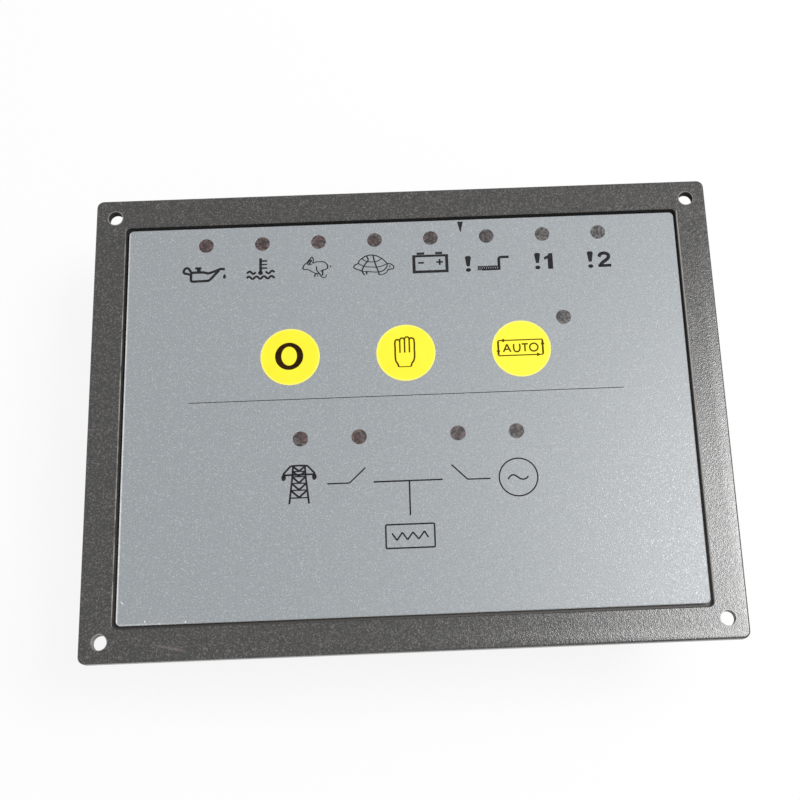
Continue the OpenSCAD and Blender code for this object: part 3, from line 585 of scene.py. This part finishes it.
def pick_edges(piece, test):
    take(piece)
    bpy.ops.object.mode_set(mode="EDIT")
    bpy.ops.mesh.select_mode(type="EDGE")
    bpy.ops.mesh.select_all(action="DESELECT")
    bpy.ops.object.mode_set(mode="OBJECT")
    points = piece.data.vertices
    for edge in piece.data.edges:
        edge.select = test(points[edge.vertices[0]].co, points[edge.vertices[1]].co)
    bpy.ops.object.mode_set(mode="EDIT")


def apply_modifier(piece, kind, **settings):
    made = piece.modifiers.new(kind.lower(), kind)
    for name, value in settings.items():
        setattr(made, name, value)
    take(piece)
    bpy.ops.object.modifier_apply(modifier=made.name)


def hand_over(piece, body, finish, stands_for=()):
    if not piece.data.materials:
        piece.data.materials.append(finish)
    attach(piece, body)
    if stands_for:
        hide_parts(*stands_for)


def middle_of(node):
    low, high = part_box(node)
    return (low + high) / 2, high - low


print("modelling helpers ready")

# %% [markdown]
# ## The front film
# One sheet of film lies in the recess, with round apertures for the keys and windows. It could
# be cut from a plane, but a block keeps the cut edge, which shows as a pale line on the left. The
# corners and the top edge are bevelled first, then the apertures are cut, and their edges are eased
# a little. The places of the windows follow from the boxes of the lamps.

# %% Block of film
FILM_CORNER = 1.4 * MM
FILM_EASE = 0.2 * MM
SAME_HEIGHT = 1e-7
centre, size = middle_of("overlay")
film_top = centre.z + size.z / 2
bpy.ops.object.select_all(action="DESELECT")
bpy.ops.mesh.primitive_cube_add(size=1, location=centre, scale=size)
film = settle(bpy.context.object, "front_film")
pick_edges(film, lambda a, b: abs(a.z - b.z) > size.z / 2)
bpy.ops.mesh.bevel(offset=FILM_CORNER, segments=8, affect="EDGES")
bpy.ops.object.mode_set(mode="OBJECT")
pick_edges(film, lambda a, b: min(a.z, b.z) > film_top - SAME_HEIGHT)
bpy.ops.mesh.bevel(offset=FILM_EASE, segments=2, affect="EDGES")
bpy.ops.object.mode_set(mode="OBJECT")
print("film in mm:", [round(side / MM, 2) for side in size])

# %% Places of the keys and windows
KEY_NAMES = ("stop", "manual", "auto")
FAULT_LAMPS = 8
key_places = [middle_of(name + "_key")[0] for name in KEY_NAMES]
auto_spot, lamp_size = middle_of("auto_lamp")
fault_spot, fault_size = middle_of("fault_lamps")
supply_spot, supply_size = middle_of("supply_lamps")
window_low, window_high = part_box("lamp_windows")
lamp_pitch = (fault_size.x - lamp_size.x) / (FAULT_LAMPS - 1)
window_d = window_high.x - window_low.x - (FAULT_LAMPS - 1) * lamp_pitch
supply_x = (supply_size.x - lamp_size.x) / 2
window_places = [((i - (FAULT_LAMPS - 1) / 2) * lamp_pitch, fault_spot.y) for i in range(FAULT_LAMPS)]
window_places.append((auto_spot.x, auto_spot.y))
window_places += [(side * (supply_x - step * lamp_pitch), supply_spot.y)
                  for side in (-1, 1) for step in (0, 1)]
print("windows:", len(window_places), "of", round(window_d / MM, 2), "mm")

# %% Apertures and cut edges
KEY_D, KEY_GAP = 18.08 * MM, 0.03 * MM
KEY_CORNERS, WINDOW_CORNERS = 128, 48
APERTURE_EASE, APERTURE_ANGLE = 0.05 * MM, math.radians(50)
STEEP, LEANS_LEFT = 0.5, -0.3


def disc(x, y, z, diameter, height, corners):
    bpy.ops.object.select_all(action="DESELECT")
    bpy.ops.mesh.primitive_cylinder_add(vertices=corners, radius=diameter / 2, depth=height,
                                        location=(x, y, z))
    return bpy.context.object


through = 4 * size.z
cutters = [disc(p.x, p.y, p.z, KEY_D + 2 * KEY_GAP, through, KEY_CORNERS) for p in key_places]
cutters += [disc(x, y, film_top, window_d + KEY_GAP, through, WINDOW_CORNERS) for x, y in window_places]
take(*cutters)
bpy.ops.object.join()
cutter = settle(bpy.context.object, "aperture_cutter")
apply_modifier(film, "BOOLEAN", object=cutter, operation="DIFFERENCE", solver="EXACT")
bpy.data.objects.remove(cutter)
apply_modifier(film, "BEVEL", width=APERTURE_EASE, segments=2, limit_method="ANGLE",
               angle_limit=APERTURE_ANGLE)
film.data.materials.append(FINISH["film"])
film.data.materials.append(film_edge_finish)
film_left = centre.x - size.x / 2 + 2 * FILM_EASE
for face in film.data.polygons:
    cut_side = abs(face.normal.z) < STEEP
    pale_left = face.normal.x < LEANS_LEFT and face.center.x < film_left
    face.material_index = 1 if cut_side or pale_left else 0
hand_over(film, "housing", FINISH["film"], ["overlay"])
print("film:", len(film.data.polygons), "faces")

# %% [markdown]
# ## Keys
# Each key is the area of film that gives way over its switch: a flat yellow disc that is eased at
# the rim. A dome would catch the light, and the real film is flat, so a cylinder is added at its
# size and only the edges of its top are picked and bevelled. Each rides on its own key's body.

# %% Keys
KEY_EASE = 0.06 * MM


def soft_disc(name, x, y, low, high, diameter, corners, ease):
    piece = disc(x, y, (low + high) / 2, diameter, high - low, corners)
    piece = settle(piece, name)
    pick_edges(piece, lambda a, b: min(a.z, b.z) > high - SAME_HEIGHT)
    bpy.ops.mesh.bevel(offset=ease, segments=2, affect="EDGES")
    bpy.ops.object.mode_set(mode="OBJECT")
    return piece


for name, spot in zip(KEY_NAMES, key_places):
    low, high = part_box(name + "_key")
    key = soft_disc(name + "_key_film", spot.x, spot.y, low.z, high.z, KEY_D, KEY_CORNERS, KEY_EASE)
    hand_over(key, name + "_button", FINISH["yellow_film"], [name + "_key"])
print("keys:", KEY_NAMES)

# %% [markdown]
# ## Lamp windows
# The windows are round areas of smoked print. Each is a thin disc in its own aperture of the
# film, eased at the rim like the film itself, and they are joined to one piece.

# %% Lamp windows
WINDOW_EASE = 0.03 * MM
panes = [soft_disc("pane", x, y, window_low.z, window_high.z, window_d, WINDOW_CORNERS, WINDOW_EASE)
         for x, y in window_places]
take(*panes)
bpy.ops.object.join()
windows = settle(bpy.context.object, "smoked_windows")
hand_over(windows, "housing", FINISH["smoked_film"], ["lamp_windows"])
print("windows:", len(windows.data.polygons), "faces")

# %% [markdown]
# ## How the signs are printed
# The signs are thin layers of ink. A pen stroke is a curve with a round section, turned into a
# mesh, cut off at the film and pressed flat, so that it is a low bead of even width. Each stroke is
# cut and closed by itself, so that crossing strokes stay clean. Its sharp corners are rounded a
# little, because a curve's section narrows there, and a zigzag is laid as separate straight strokes,
# which keeps its points. Areas are flat curves that are filled. Each sign is one piece.

# %% Kinds of marks
INK = 0.02 * MM
PEN = 0.4


def stroke(width, *points, closed=False, smooth=False):
    return {"width": width, "points": points, "closed": closed, "smooth": smooth}


def sweep(width, *points, closed=False):
    return stroke(width, *points, closed=closed, smooth=True)


def segments(width, *points):
    return [stroke(width, *ends) for ends in zip(points, points[1:])]


def area(*outlines):
    return {"outlines": outlines}


def oval(x, y, across, high, steps=40):
    turns = [2 * math.pi * i / steps for i in range(steps)]
    return [(x + across / 2 * math.cos(t), y + high / 2 * math.sin(t)) for t in turns]


def box_outline(x0, x1, y0, y1):
    return [(x0, y0), (x1, y0), (x1, y1), (x0, y1)]


def wave(x0, x1, y, height, length, start, steps=6):
    count = max(3, round(steps * (x1 - x0) / length))
    xs = [x0 + (x1 - x0) * i / count for i in range(count + 1)]
    return [(x, y + height * math.sin(2 * math.pi * (x - x0) / length + start)) for x in xs]


print("pen of", PEN, "mm, ink of", INK / MM, "mm")

# %% Marks laid out as curves
CORNER_REACH = 0.9
SIDE_SHARE = 2.2
CORNER_STEPS = (0, 0.25, 0.5, 0.75, 1)


def ease_corners(points, closed, reach):
    count = len(points)
    eased = []
    for i, point in enumerate(points):
        here = Vector(point)
        if not closed and i in (0, count - 1):
            eased.append(here)
            continue
        before, after = Vector(points[i - 1]) - here, Vector(points[(i + 1) % count]) - here
        start = here + before.normalized() * min(reach, before.length / SIDE_SHARE)
        end = here + after.normalized() * min(reach, after.length / SIDE_SHARE)
        for t in CORNER_STEPS:
            eased.append(start * (1 - t) ** 2 + here * 2 * t * (1 - t) + end * t ** 2)
    return eased


def lay_stroke(curve, mark):
    if mark["smooth"]:
        points = [Vector(p) for p in mark["points"]]
        spline = curve.splines.new("BEZIER")
        spline.bezier_points.add(len(points) - 1)
        knots = spline.bezier_points
        for knot in knots:
            knot.handle_left_type = knot.handle_right_type = "AUTO"
    else:
        points = ease_corners(mark["points"], mark["closed"], CORNER_REACH * mark["width"])
        spline = curve.splines.new("POLY")
        spline.points.add(len(points) - 1)
        knots = spline.points
    for knot, point in zip(knots, points):
        knot.co[:2] = point * MM
        knot.radius = mark["width"] / PEN
    spline.use_cyclic_u = mark["closed"]


def lay_outline(curve, outline):
    spline = curve.splines.new("POLY")
    spline.points.add(len(outline) - 1)
    for knot, point in zip(spline.points, outline):
        knot.co[:2] = Vector(point) * MM
    spline.use_cyclic_u = True


print("corners reach", CORNER_REACH, "of a stroke's width")

# %% Curves made into printed signs
BEAD_MERGE, BEAD_CUT = 0.001 * MM, 0.0001 * MM


def curve_to_mesh(name, curve):
    made = bpy.data.objects.new(name, curve)
    scene.collection.objects.link(made)
    take(made)
    bpy.ops.object.convert(target="MESH")
    return bpy.context.object


def draw_stroke(name, mark):
    curve = bpy.data.curves.new(name, "CURVE")
    curve.dimensions = "3D"
    curve.bevel_depth = PEN / 2 * MM
    curve.bevel_resolution = 1
    curve.resolution_u = 5
    curve.use_fill_caps = True
    lay_stroke(curve, mark)
    bead = curve_to_mesh(name, curve)
    bpy.ops.object.mode_set(mode="EDIT")
    bpy.ops.mesh.select_all(action="SELECT")
    bpy.ops.mesh.remove_doubles(threshold=BEAD_MERGE)
    bpy.ops.mesh.bisect(plane_co=(0, 0, 0), plane_no=(0, 0, 1), clear_inner=True, use_fill=True,
                        threshold=BEAD_CUT)
    bpy.ops.object.mode_set(mode="OBJECT")
    bead.scale.z = 2 * INK / (PEN * MM)
    return bead


def draw_areas(name, marks):
    curve = bpy.data.curves.new(name, "CURVE")
    curve.dimensions = "2D"
    curve.fill_mode = "BOTH"
    curve.extrude = INK / 2
    for mark in marks:
        for outline in mark["outlines"]:
            lay_outline(curve, outline)
    fills = curve_to_mesh(name, curve)
    fills.location.z = INK / 2
    return fills


def print_sign(name, marks, body="housing", nudge=(0.0, 0.0), finish=ink_finish):
    strokes = [mark for mark in marks if "width" in mark]
    areas = [mark for mark in marks if "outlines" in mark]
    layers = [draw_stroke(name + "_stroke", mark) for mark in strokes]
    layers += [draw_areas(name + "_area", areas)] if areas else []
    for layer in layers:
        layer.location += Vector((nudge[0] * MM, nudge[1] * MM, film_top))
        settle(layer, layer.name)
    take(*layers)
    bpy.ops.object.join()
    sign = settle(bpy.context.object, name)
    hand_over(sign, body, finish)
    print(name, len(sign.data.polygons), "faces")


print("signs are printed at", round(film_top / MM, 2), "mm")

# %% [markdown]
# ## Engine signs
# Under the upper row of windows stand the usual engine signs: an oil can with its drop, a
# thermometer in waves, a hare and a tortoise for too fast and too slow, a battery, a starting
# crank and two numbered spare alarms, with a small wedge above them. They are drawn from scratch
# in millimetres on the face, with the pen widths that the print shows.

# %% Oil can and thermometer
print_sign("oil_sign", [
    stroke(0.82, (-60.9, 43.7), (-65.9, 43.6), (-65.9, 46.6), (-61.9, 46.6), (-60.6, 46.1), (-58.0, 47.0),
           (-56.7, 47.6), (-55.4, 47.4)),
    stroke(0.82, (-60.9, 43.7), (-60.2, 43.8), (-57.2, 47.1)),
    sweep(0.78, (-65.8, 46.7), (-67.2, 48.2), (-68.0, 47.6), (-68.1, 46.7), (-66.9, 46.2), (-65.9, 45.9)),
    stroke(0.75, (-64.6, 48.0), (-62.7, 48.0)),
    stroke(1.12, (-63.5, 46.6), (-63.5, 48.0)),
    area([(-55.5, 45.9), (-55.1, 45.2), (-55.0, 44.7), (-55.2, 44.35), (-55.5, 44.25), (-55.8, 44.35),
          (-56.0, 44.7), (-55.9, 45.2)]),
], nudge=(-0.1, 0.2))
print_sign("coolant_sign", [
    stroke(0.85, (-44.4, 50.5), (-44.4, 45.6)),
    area(oval(-44.4, 45.6, 1.5, 1.4)),
    stroke(0.52, (-44.1, 49.6), (-42.3, 49.6)),
    stroke(0.44, (-44.1, 48.4), (-42.4, 48.4)),
    stroke(0.52, (-44.1, 47.2), (-42.3, 47.2)),
    sweep(0.68, *wave(-48.6, -45.9, 45.8, 0.42, 2.35, -0.6)),
    sweep(0.68, *wave(-42.8, -40.1, 45.8, 0.42, 2.35, 2.4)),
    sweep(0.68, *wave(-48.7, -40.0, 44.1, 0.40, 2.35, -0.2)),
], nudge=(0.0, 0.3))

# %% Hare and tortoise
print_sign("hare_sign", [
    sweep(0.36, (-31.3, 46.8), (-31.1, 47.5), (-30.7, 48.2), (-30.1, 48.6), (-29.5, 49.4), (-28.9, 50.1),
          (-28.4, 50.6), (-28.1, 50.2), (-27.95, 49.5), (-28.2, 48.6)),
    stroke(0.47, (-29.9, 48.5), (-28.8, 49.8)),
    stroke(0.43, (-29.3, 48.3), (-28.4, 49.6)),
    sweep(0.32, (-29.9, 48.3), (-29.2, 48.05), (-28.4, 48.35)),
    sweep(0.32, (-28.2, 48.5), (-27.2, 48.9), (-26.0, 49.0), (-24.9, 48.9), (-24.0, 48.4), (-23.6, 47.6)),
    sweep(0.44, (-23.6, 48.0), (-23.5, 47.3), (-23.55, 46.7)),
    sweep(0.31, (-31.2, 46.7), (-30.6, 46.5), (-29.8, 46.5), (-28.9, 46.05), (-28.0, 45.5), (-27.3, 45.1),
          (-26.5, 45.05), (-26.0, 44.7)),
    sweep(0.43, (-27.2, 45.1), (-27.5, 44.6), (-27.65, 43.95)),
    sweep(0.25, (-26.9, 44.9), (-26.7, 44.4), (-26.6, 43.9)),
    sweep(0.36, (-26.9, 47.4), (-27.05, 46.6), (-26.7, 45.8), (-26.1, 45.0), (-25.7, 44.3), (-25.5, 43.9)),
    sweep(0.36, (-23.5, 46.7), (-24.2, 46.35), (-25.1, 46.1), (-25.75, 45.7)),
    stroke(0.46, (-25.15, 45.9), (-25.05, 45.0), (-25.3, 44.3)),
    sweep(0.27, (-25.5, 43.9), (-25.1, 43.65), (-24.5, 43.65), (-24.05, 44.0), (-23.9, 44.6)),
    area(oval(-31.2, 47.0, 0.5, 0.75, 12), oval(-25.15, 45.95, 0.8, 0.6, 12)),
    area(oval(-22.6, 47.3, 0.5, 0.6, 12)),
])
print_sign("tortoise_sign", [
    sweep(0.36, (-12.8, 45.2), (-13.7, 45.7), (-14.8, 46.1), (-15.4, 46.7), (-15.1, 47.3), (-14.0, 47.9)),
    sweep(0.36, (-14.0, 47.9), (-13.7, 48.7), (-12.9, 49.5), (-11.6, 50.3), (-9.9, 50.6), (-8.4, 50.3),
          (-7.2, 49.7), (-6.0, 48.7), (-5.1, 47.6), (-5.05, 46.8), (-5.6, 45.8), (-6.6, 45.1), (-7.8, 44.8)),
    sweep(0.44, (-11.4, 50.3), (-10.95, 49.5), (-10.9, 48.8), (-11.5, 48.0), (-12.2, 47.0), (-12.65, 46.0),
          (-12.75, 45.2), (-12.4, 44.4), (-12.1, 43.9)),
    sweep(0.44, (-9.3, 50.4), (-9.1, 49.2), (-8.85, 48.2), (-8.45, 46.9), (-8.05, 45.7), (-7.7, 44.7),
          (-7.5, 43.8)),
    sweep(0.30, (-12.8, 49.5), (-12.0, 48.8), (-10.9, 48.4), (-8.9, 48.3), (-7.7, 48.6), (-6.7, 49.3)),
    sweep(0.30, (-14.0, 47.9), (-13.0, 47.3), (-12.0, 46.8), (-10.3, 46.6), (-8.3, 46.5), (-6.6, 46.8),
          (-5.3, 47.4)),
    sweep(0.30, (-12.6, 45.1), (-11.3, 45.1), (-9.6, 44.9), (-7.8, 44.8)),
    stroke(0.5, (-11.3, 45.2), (-11.5, 44.2)),
    sweep(0.30, (-7.4, 43.85), (-6.4, 44.0), (-5.4, 44.5), (-4.75, 45.4)),
    sweep(0.36, (-5.0, 47.5), (-4.2, 47.45), (-3.4, 47.0), (-2.95, 46.4), (-3.1, 45.8), (-3.9, 45.65),
          (-4.6, 45.6)),
    stroke(0.32, (-4.25, 46.9), (-4.1, 46.2)),
    area(oval(-12.7, 49.5, 0.6, 0.55, 12), oval(-4.65, 45.55, 0.55, 0.55, 12)),
])

# %% Battery and starting crank
def warning(x, top=48.9, foot=45.4):
    wide, slim = 0.95, 0.48
    return area([(x - wide, top - 0.4), (x - wide + 0.4, top), (x + wide - 0.4, top), (x + wide, top - 0.4),
                 (x + slim, foot), (x - slim, foot)], oval(x, 44.2, 1.6, 1.25, 20))


print_sign("battery_sign", [
    area(box_outline(2.6, 13.8, 43.6, 49.7), box_outline(3.55, 12.85, 44.5, 48.95)),
    area(box_outline(4.0, 6.4, 49.8, 50.55)),
    area(box_outline(9.8, 12.0, 49.8, 50.55)),
    stroke(0.6, (4.4, 47.05), (6.2, 47.05)),
    stroke(0.58, (10.1, 47.15), (12.1, 47.15)),
    stroke(0.58, (11.1, 46.15), (11.1, 48.15)),
], nudge=(0.3, 0.3))
print_sign("crank_sign", [
    warning(19.75),
    *segments(0.36, *[(22.7 + 0.68 * i, 44.0 + 1.4 * (i % 2)) for i in range(10)]),
    *segments(0.36, *[(22.7 + 0.68 * i, 45.4 - 1.4 * (i % 2)) for i in range(10)]),
    stroke(0.36, (24.0, 44.0), (29.0, 44.0)),
    stroke(0.86, (29.35, 43.9), (29.35, 48.15), (32.5, 48.15)),
], nudge=(0.5, 0.2))

# %% Two spare alarms and the wedge
print_sign("first_alarm_sign", [
    warning(41.4, 49.1, 45.7),
    area([(44.6, 43.6), (46.2, 43.6), (46.2, 48.9), (45.1, 48.9), (44.5, 48.1), (43.5, 47.6), (43.5, 46.7),
          (44.6, 47.1)]),
], nudge=(0.5, 0.2))
print_sign("second_alarm_sign", [
    warning(57.9, 49.2, 45.7),
    sweep(1.1, (60.7, 47.2), (61.0, 48.0), (61.8, 48.4), (62.8, 48.35), (63.6, 47.8), (63.6, 47.0),
          (62.9, 46.2), (61.8, 45.4), (61.0, 44.6)),
    stroke(0.95, (60.3, 44.28), (64.35, 44.28)),
], nudge=(0.5, 0.0))
print_sign("wedge_mark", [
    area([(17.05, 60.7), (18.9, 60.7), (18.1, 57.2), (17.9, 57.2)]),
], nudge=(0.3, 0.2))

# %% [markdown]
# ## Supply diagram
# Below a thin dividing line is a single line diagram: a pylon for the mains and a circle with a
# wave for the generating set, each with its open switch, a bar between them and the load box
# below. The pylon is worked out from the slope of its legs and the heights of its struts.

# %% Diagram
print_sign("divider_line", [stroke(0.22, (-66.3, 4.4), (65.2, 4.4))], nudge=(0.4, 0.0))
print_sign("switch_diagram", [
    stroke(0.42, (-24.6, -21.8), (-18.0, -21.8), (-13.2, -17.3)),
    stroke(0.47, (-10.8, -21.75), (9.6, -21.75)),
    stroke(0.47, (-0.25, -21.75), (-0.25, -32.2)),
    stroke(0.42, (12.4, -17.4), (17.0, -22.0), (23.8, -22.0)),
], nudge=(0.1, -0.3))
print_sign("load_sign", [
    stroke(0.48, (-7.6, -41.7), (6.7, -41.7), (6.7, -34.7), (-7.6, -34.7), closed=True),
    *segments(0.47, (-5.8, -37.3), (-4.4, -39.4), (-2.8, -37.1), (-1.3, -39.3), (0.3, -37.1), (2.0, -39.2),
              (3.7, -36.9), (4.8, -38.8)),
], nudge=(0.1, -0.4))
print_sign("generator_sign", [
    sweep(0.42, *oval(31.7, -22.0, 11.4, 11.4, 16), closed=True),
    sweep(0.46, (28.6, -22.6), (29.2, -21.7), (30.1, -21.3), (31.1, -21.7), (32.2, -22.5), (33.2, -22.7),
          (34.1, -22.4), (34.6, -21.8)),
], nudge=(0.5, -0.2))

# %% Pylon
PYLON_X = -32.6
LEG = ((1.75, -16.0), (2.0, -19.5), (2.4, -23.0), (2.9, -27.4))
LEVELS = (-16.1, -17.6, -19.2, -21.2, -23.3, -25.6)


def leg_x(y):
    for (x0, y0), (x1, y1) in zip(LEG, LEG[1:]):
        if y >= y1:
            return x0 + (x1 - x0) * (y - y0) / (y1 - y0)
    return LEG[-1][0]


pylon = [stroke(0.57, *[(PYLON_X + side * x, y) for x, y in LEG]) for side in (-1, 1)]
pylon += [stroke(0.40, (PYLON_X - leg_x(y), y), (PYLON_X + leg_x(y), y)) for y in LEVELS[1:]]
for upper, lower in zip(LEVELS, LEVELS[1:]):
    pylon.append(stroke(0.58, (PYLON_X - leg_x(upper), upper), (PYLON_X, lower + 0.1),
                        (PYLON_X + leg_x(upper), upper)))
pylon += [stroke(0.57, (PYLON_X + side * 4.75, -18.4), (PYLON_X + side * 2.5, -15.9), (PYLON_X, -15.8))
          for side in (-1, 1)]
pylon.append(stroke(0.57, (PYLON_X - 4.8, -18.6), (PYLON_X + 4.8, -18.6)))
pylon += [area(oval(PYLON_X + side * 4.55, -19.35, 1.35, 2.0, 20)) for side in (-1, 1)]
print_sign("pylon_sign", pylon, nudge=(-0.2, -0.4))

# %% [markdown]
# ## Signs on the keys
# The stop key carries a bold ring, the manual key a raised hand and the auto key the word AUTO
# in a loop of arrows. Each rides on its own key, so it goes down with it.

# %% Key signs
print_sign("stop_sign", [
    area(oval(-35.4, 18.0, 8.6, 8.75), oval(-35.4, 18.05, 4.75, 6.1)),
], "stop_button", nudge=(-0.2, 0.2), finish=key_ink_finish)
print_sign("hand_sign", [
    sweep(0.53, (-2.5, 13.5), (-2.7, 14.3), (-3.3, 15.4), (-3.45, 16.6), (-3.45, 19.5), (-3.45, 21.4),
          (-3.2, 22.1), (-2.7, 22.25), (-2.2, 22.1), (-2.0, 21.7)),
    sweep(0.48, (-2.0, 21.8), (-1.8, 22.5), (-1.3, 22.75), (-0.8, 22.6), (-0.55, 22.1)),
    sweep(0.48, (-0.55, 22.2), (-0.3, 22.85), (0.2, 23.05), (0.7, 22.85), (0.9, 22.2)),
    sweep(0.53, (0.9, 22.1), (1.2, 22.6), (1.7, 22.65), (2.2, 22.4), (2.4, 21.6), (2.4, 19.0), (2.4, 16.6),
          (2.1, 15.3), (1.6, 14.6), (1.25, 13.5)),
    stroke(0.47, (-2.0, 21.9), (-2.0, 18.0)),
    stroke(0.47, (-0.55, 22.3), (-0.55, 18.0)),
    stroke(0.47, (0.9, 22.3), (0.9, 18.0)),
    stroke(0.28, (-2.5, 13.5), (1.25, 13.5)),
], "manual_button", nudge=(0.2, 0.0), finish=fine_ink_finish)


def arrow(x, y, along, across):
    tip = Vector((x, y)) + Vector(along) * 0.85
    tail = Vector((x, y)) - Vector(along) * 0.45
    side = Vector(across) * 0.62
    return area([tuple(tip), tuple(tail + side), tuple(tail - side)])


print_sign("auto_sign", [
    stroke(0.38, (28.7, 20.65), (41.35, 20.65), (41.35, 15.75), (27.75, 15.75), (27.75, 20.65), closed=True),
    stroke(0.58, (27.75, 20.4), (27.75, 16.0)),
    stroke(0.58, (41.35, 20.4), (41.35, 16.0)),
    arrow(29.2, 20.65, (-1, 0), (0, 1)),
    arrow(27.75, 17.0, (0, -1), (1, 0)),
    arrow(39.9, 15.75, (1, 0), (0, 1)),
    arrow(41.35, 19.4, (0, 1), (1, 0)),
    *segments(0.48, (29.3, 16.9), (30.4, 19.4), (31.5, 16.9)),
    stroke(0.42, (29.75, 17.75), (31.05, 17.75)),
    sweep(0.48, (32.5, 19.4), (32.5, 17.7), (32.85, 17.05), (33.4, 16.9), (33.95, 17.05), (34.3, 17.7),
          (34.3, 19.4)),
    stroke(0.48, (34.95, 19.3), (36.85, 19.3)),
    stroke(0.48, (35.9, 19.3), (35.9, 16.9)),
    sweep(0.48, *oval(38.6, 18.15, 2.5, 2.5, 10), closed=True),
], "auto_button", nudge=(0.5, 0.1), finish=fine_ink_finish)

# %% [markdown]
# ## Eased edges on the mouldings, terminals and screws
# Moulded and turned pieces have no knife edges: a narrow rounded edge catches the light on each.
# The solids are exact and sharp, so a copy of each node is made, its loose triangles are merged,
# flat areas are dissolved to single faces and the edges that are left get a small bevel. The
# copy then stands for its node.

# %% Eased copies of the nodes
SOLID_MERGE = 0.002 * MM
FLAT_ANGLE, EDGE_ANGLE, SMOOTH_ANGLE = [math.radians(turn) for turn in (0.5, 40, 12)]
EASED = {"bezel": 0.15, "rear_cover": 0.25, "config_socket": 0.2, "terminal_screws": 0.12,
         "cover_screws": 0.15}
for row in ("control", "input", "mains", "contactor", "generator"):
    EASED[row + "_plug"] = 0.18
    EASED[row + "_header"] = 0.15


def ease(node, width):
    piece = bpy.data.objects.new(node + "_eased", nodes[node].data.copy())
    scene.collection.objects.link(piece)
    take(piece)
    bpy.ops.object.mode_set(mode="EDIT")
    bpy.ops.mesh.select_all(action="SELECT")
    bpy.ops.mesh.remove_doubles(threshold=SOLID_MERGE)
    bpy.ops.mesh.dissolve_limited(angle_limit=FLAT_ANGLE)
    bpy.ops.object.mode_set(mode="OBJECT")
    apply_modifier(piece, "BEVEL", width=width * MM, segments=2, limit_method="ANGLE",
                   angle_limit=EDGE_ANGLE)
    bpy.ops.object.shade_smooth_by_angle(angle=SMOOTH_ANGLE)
    hand_over(piece, "housing", FINISH[slot_of[node]], [node])
    return len(piece.data.polygons)


print("eased:", {node: ease(node, width) for node, width in EASED.items()})
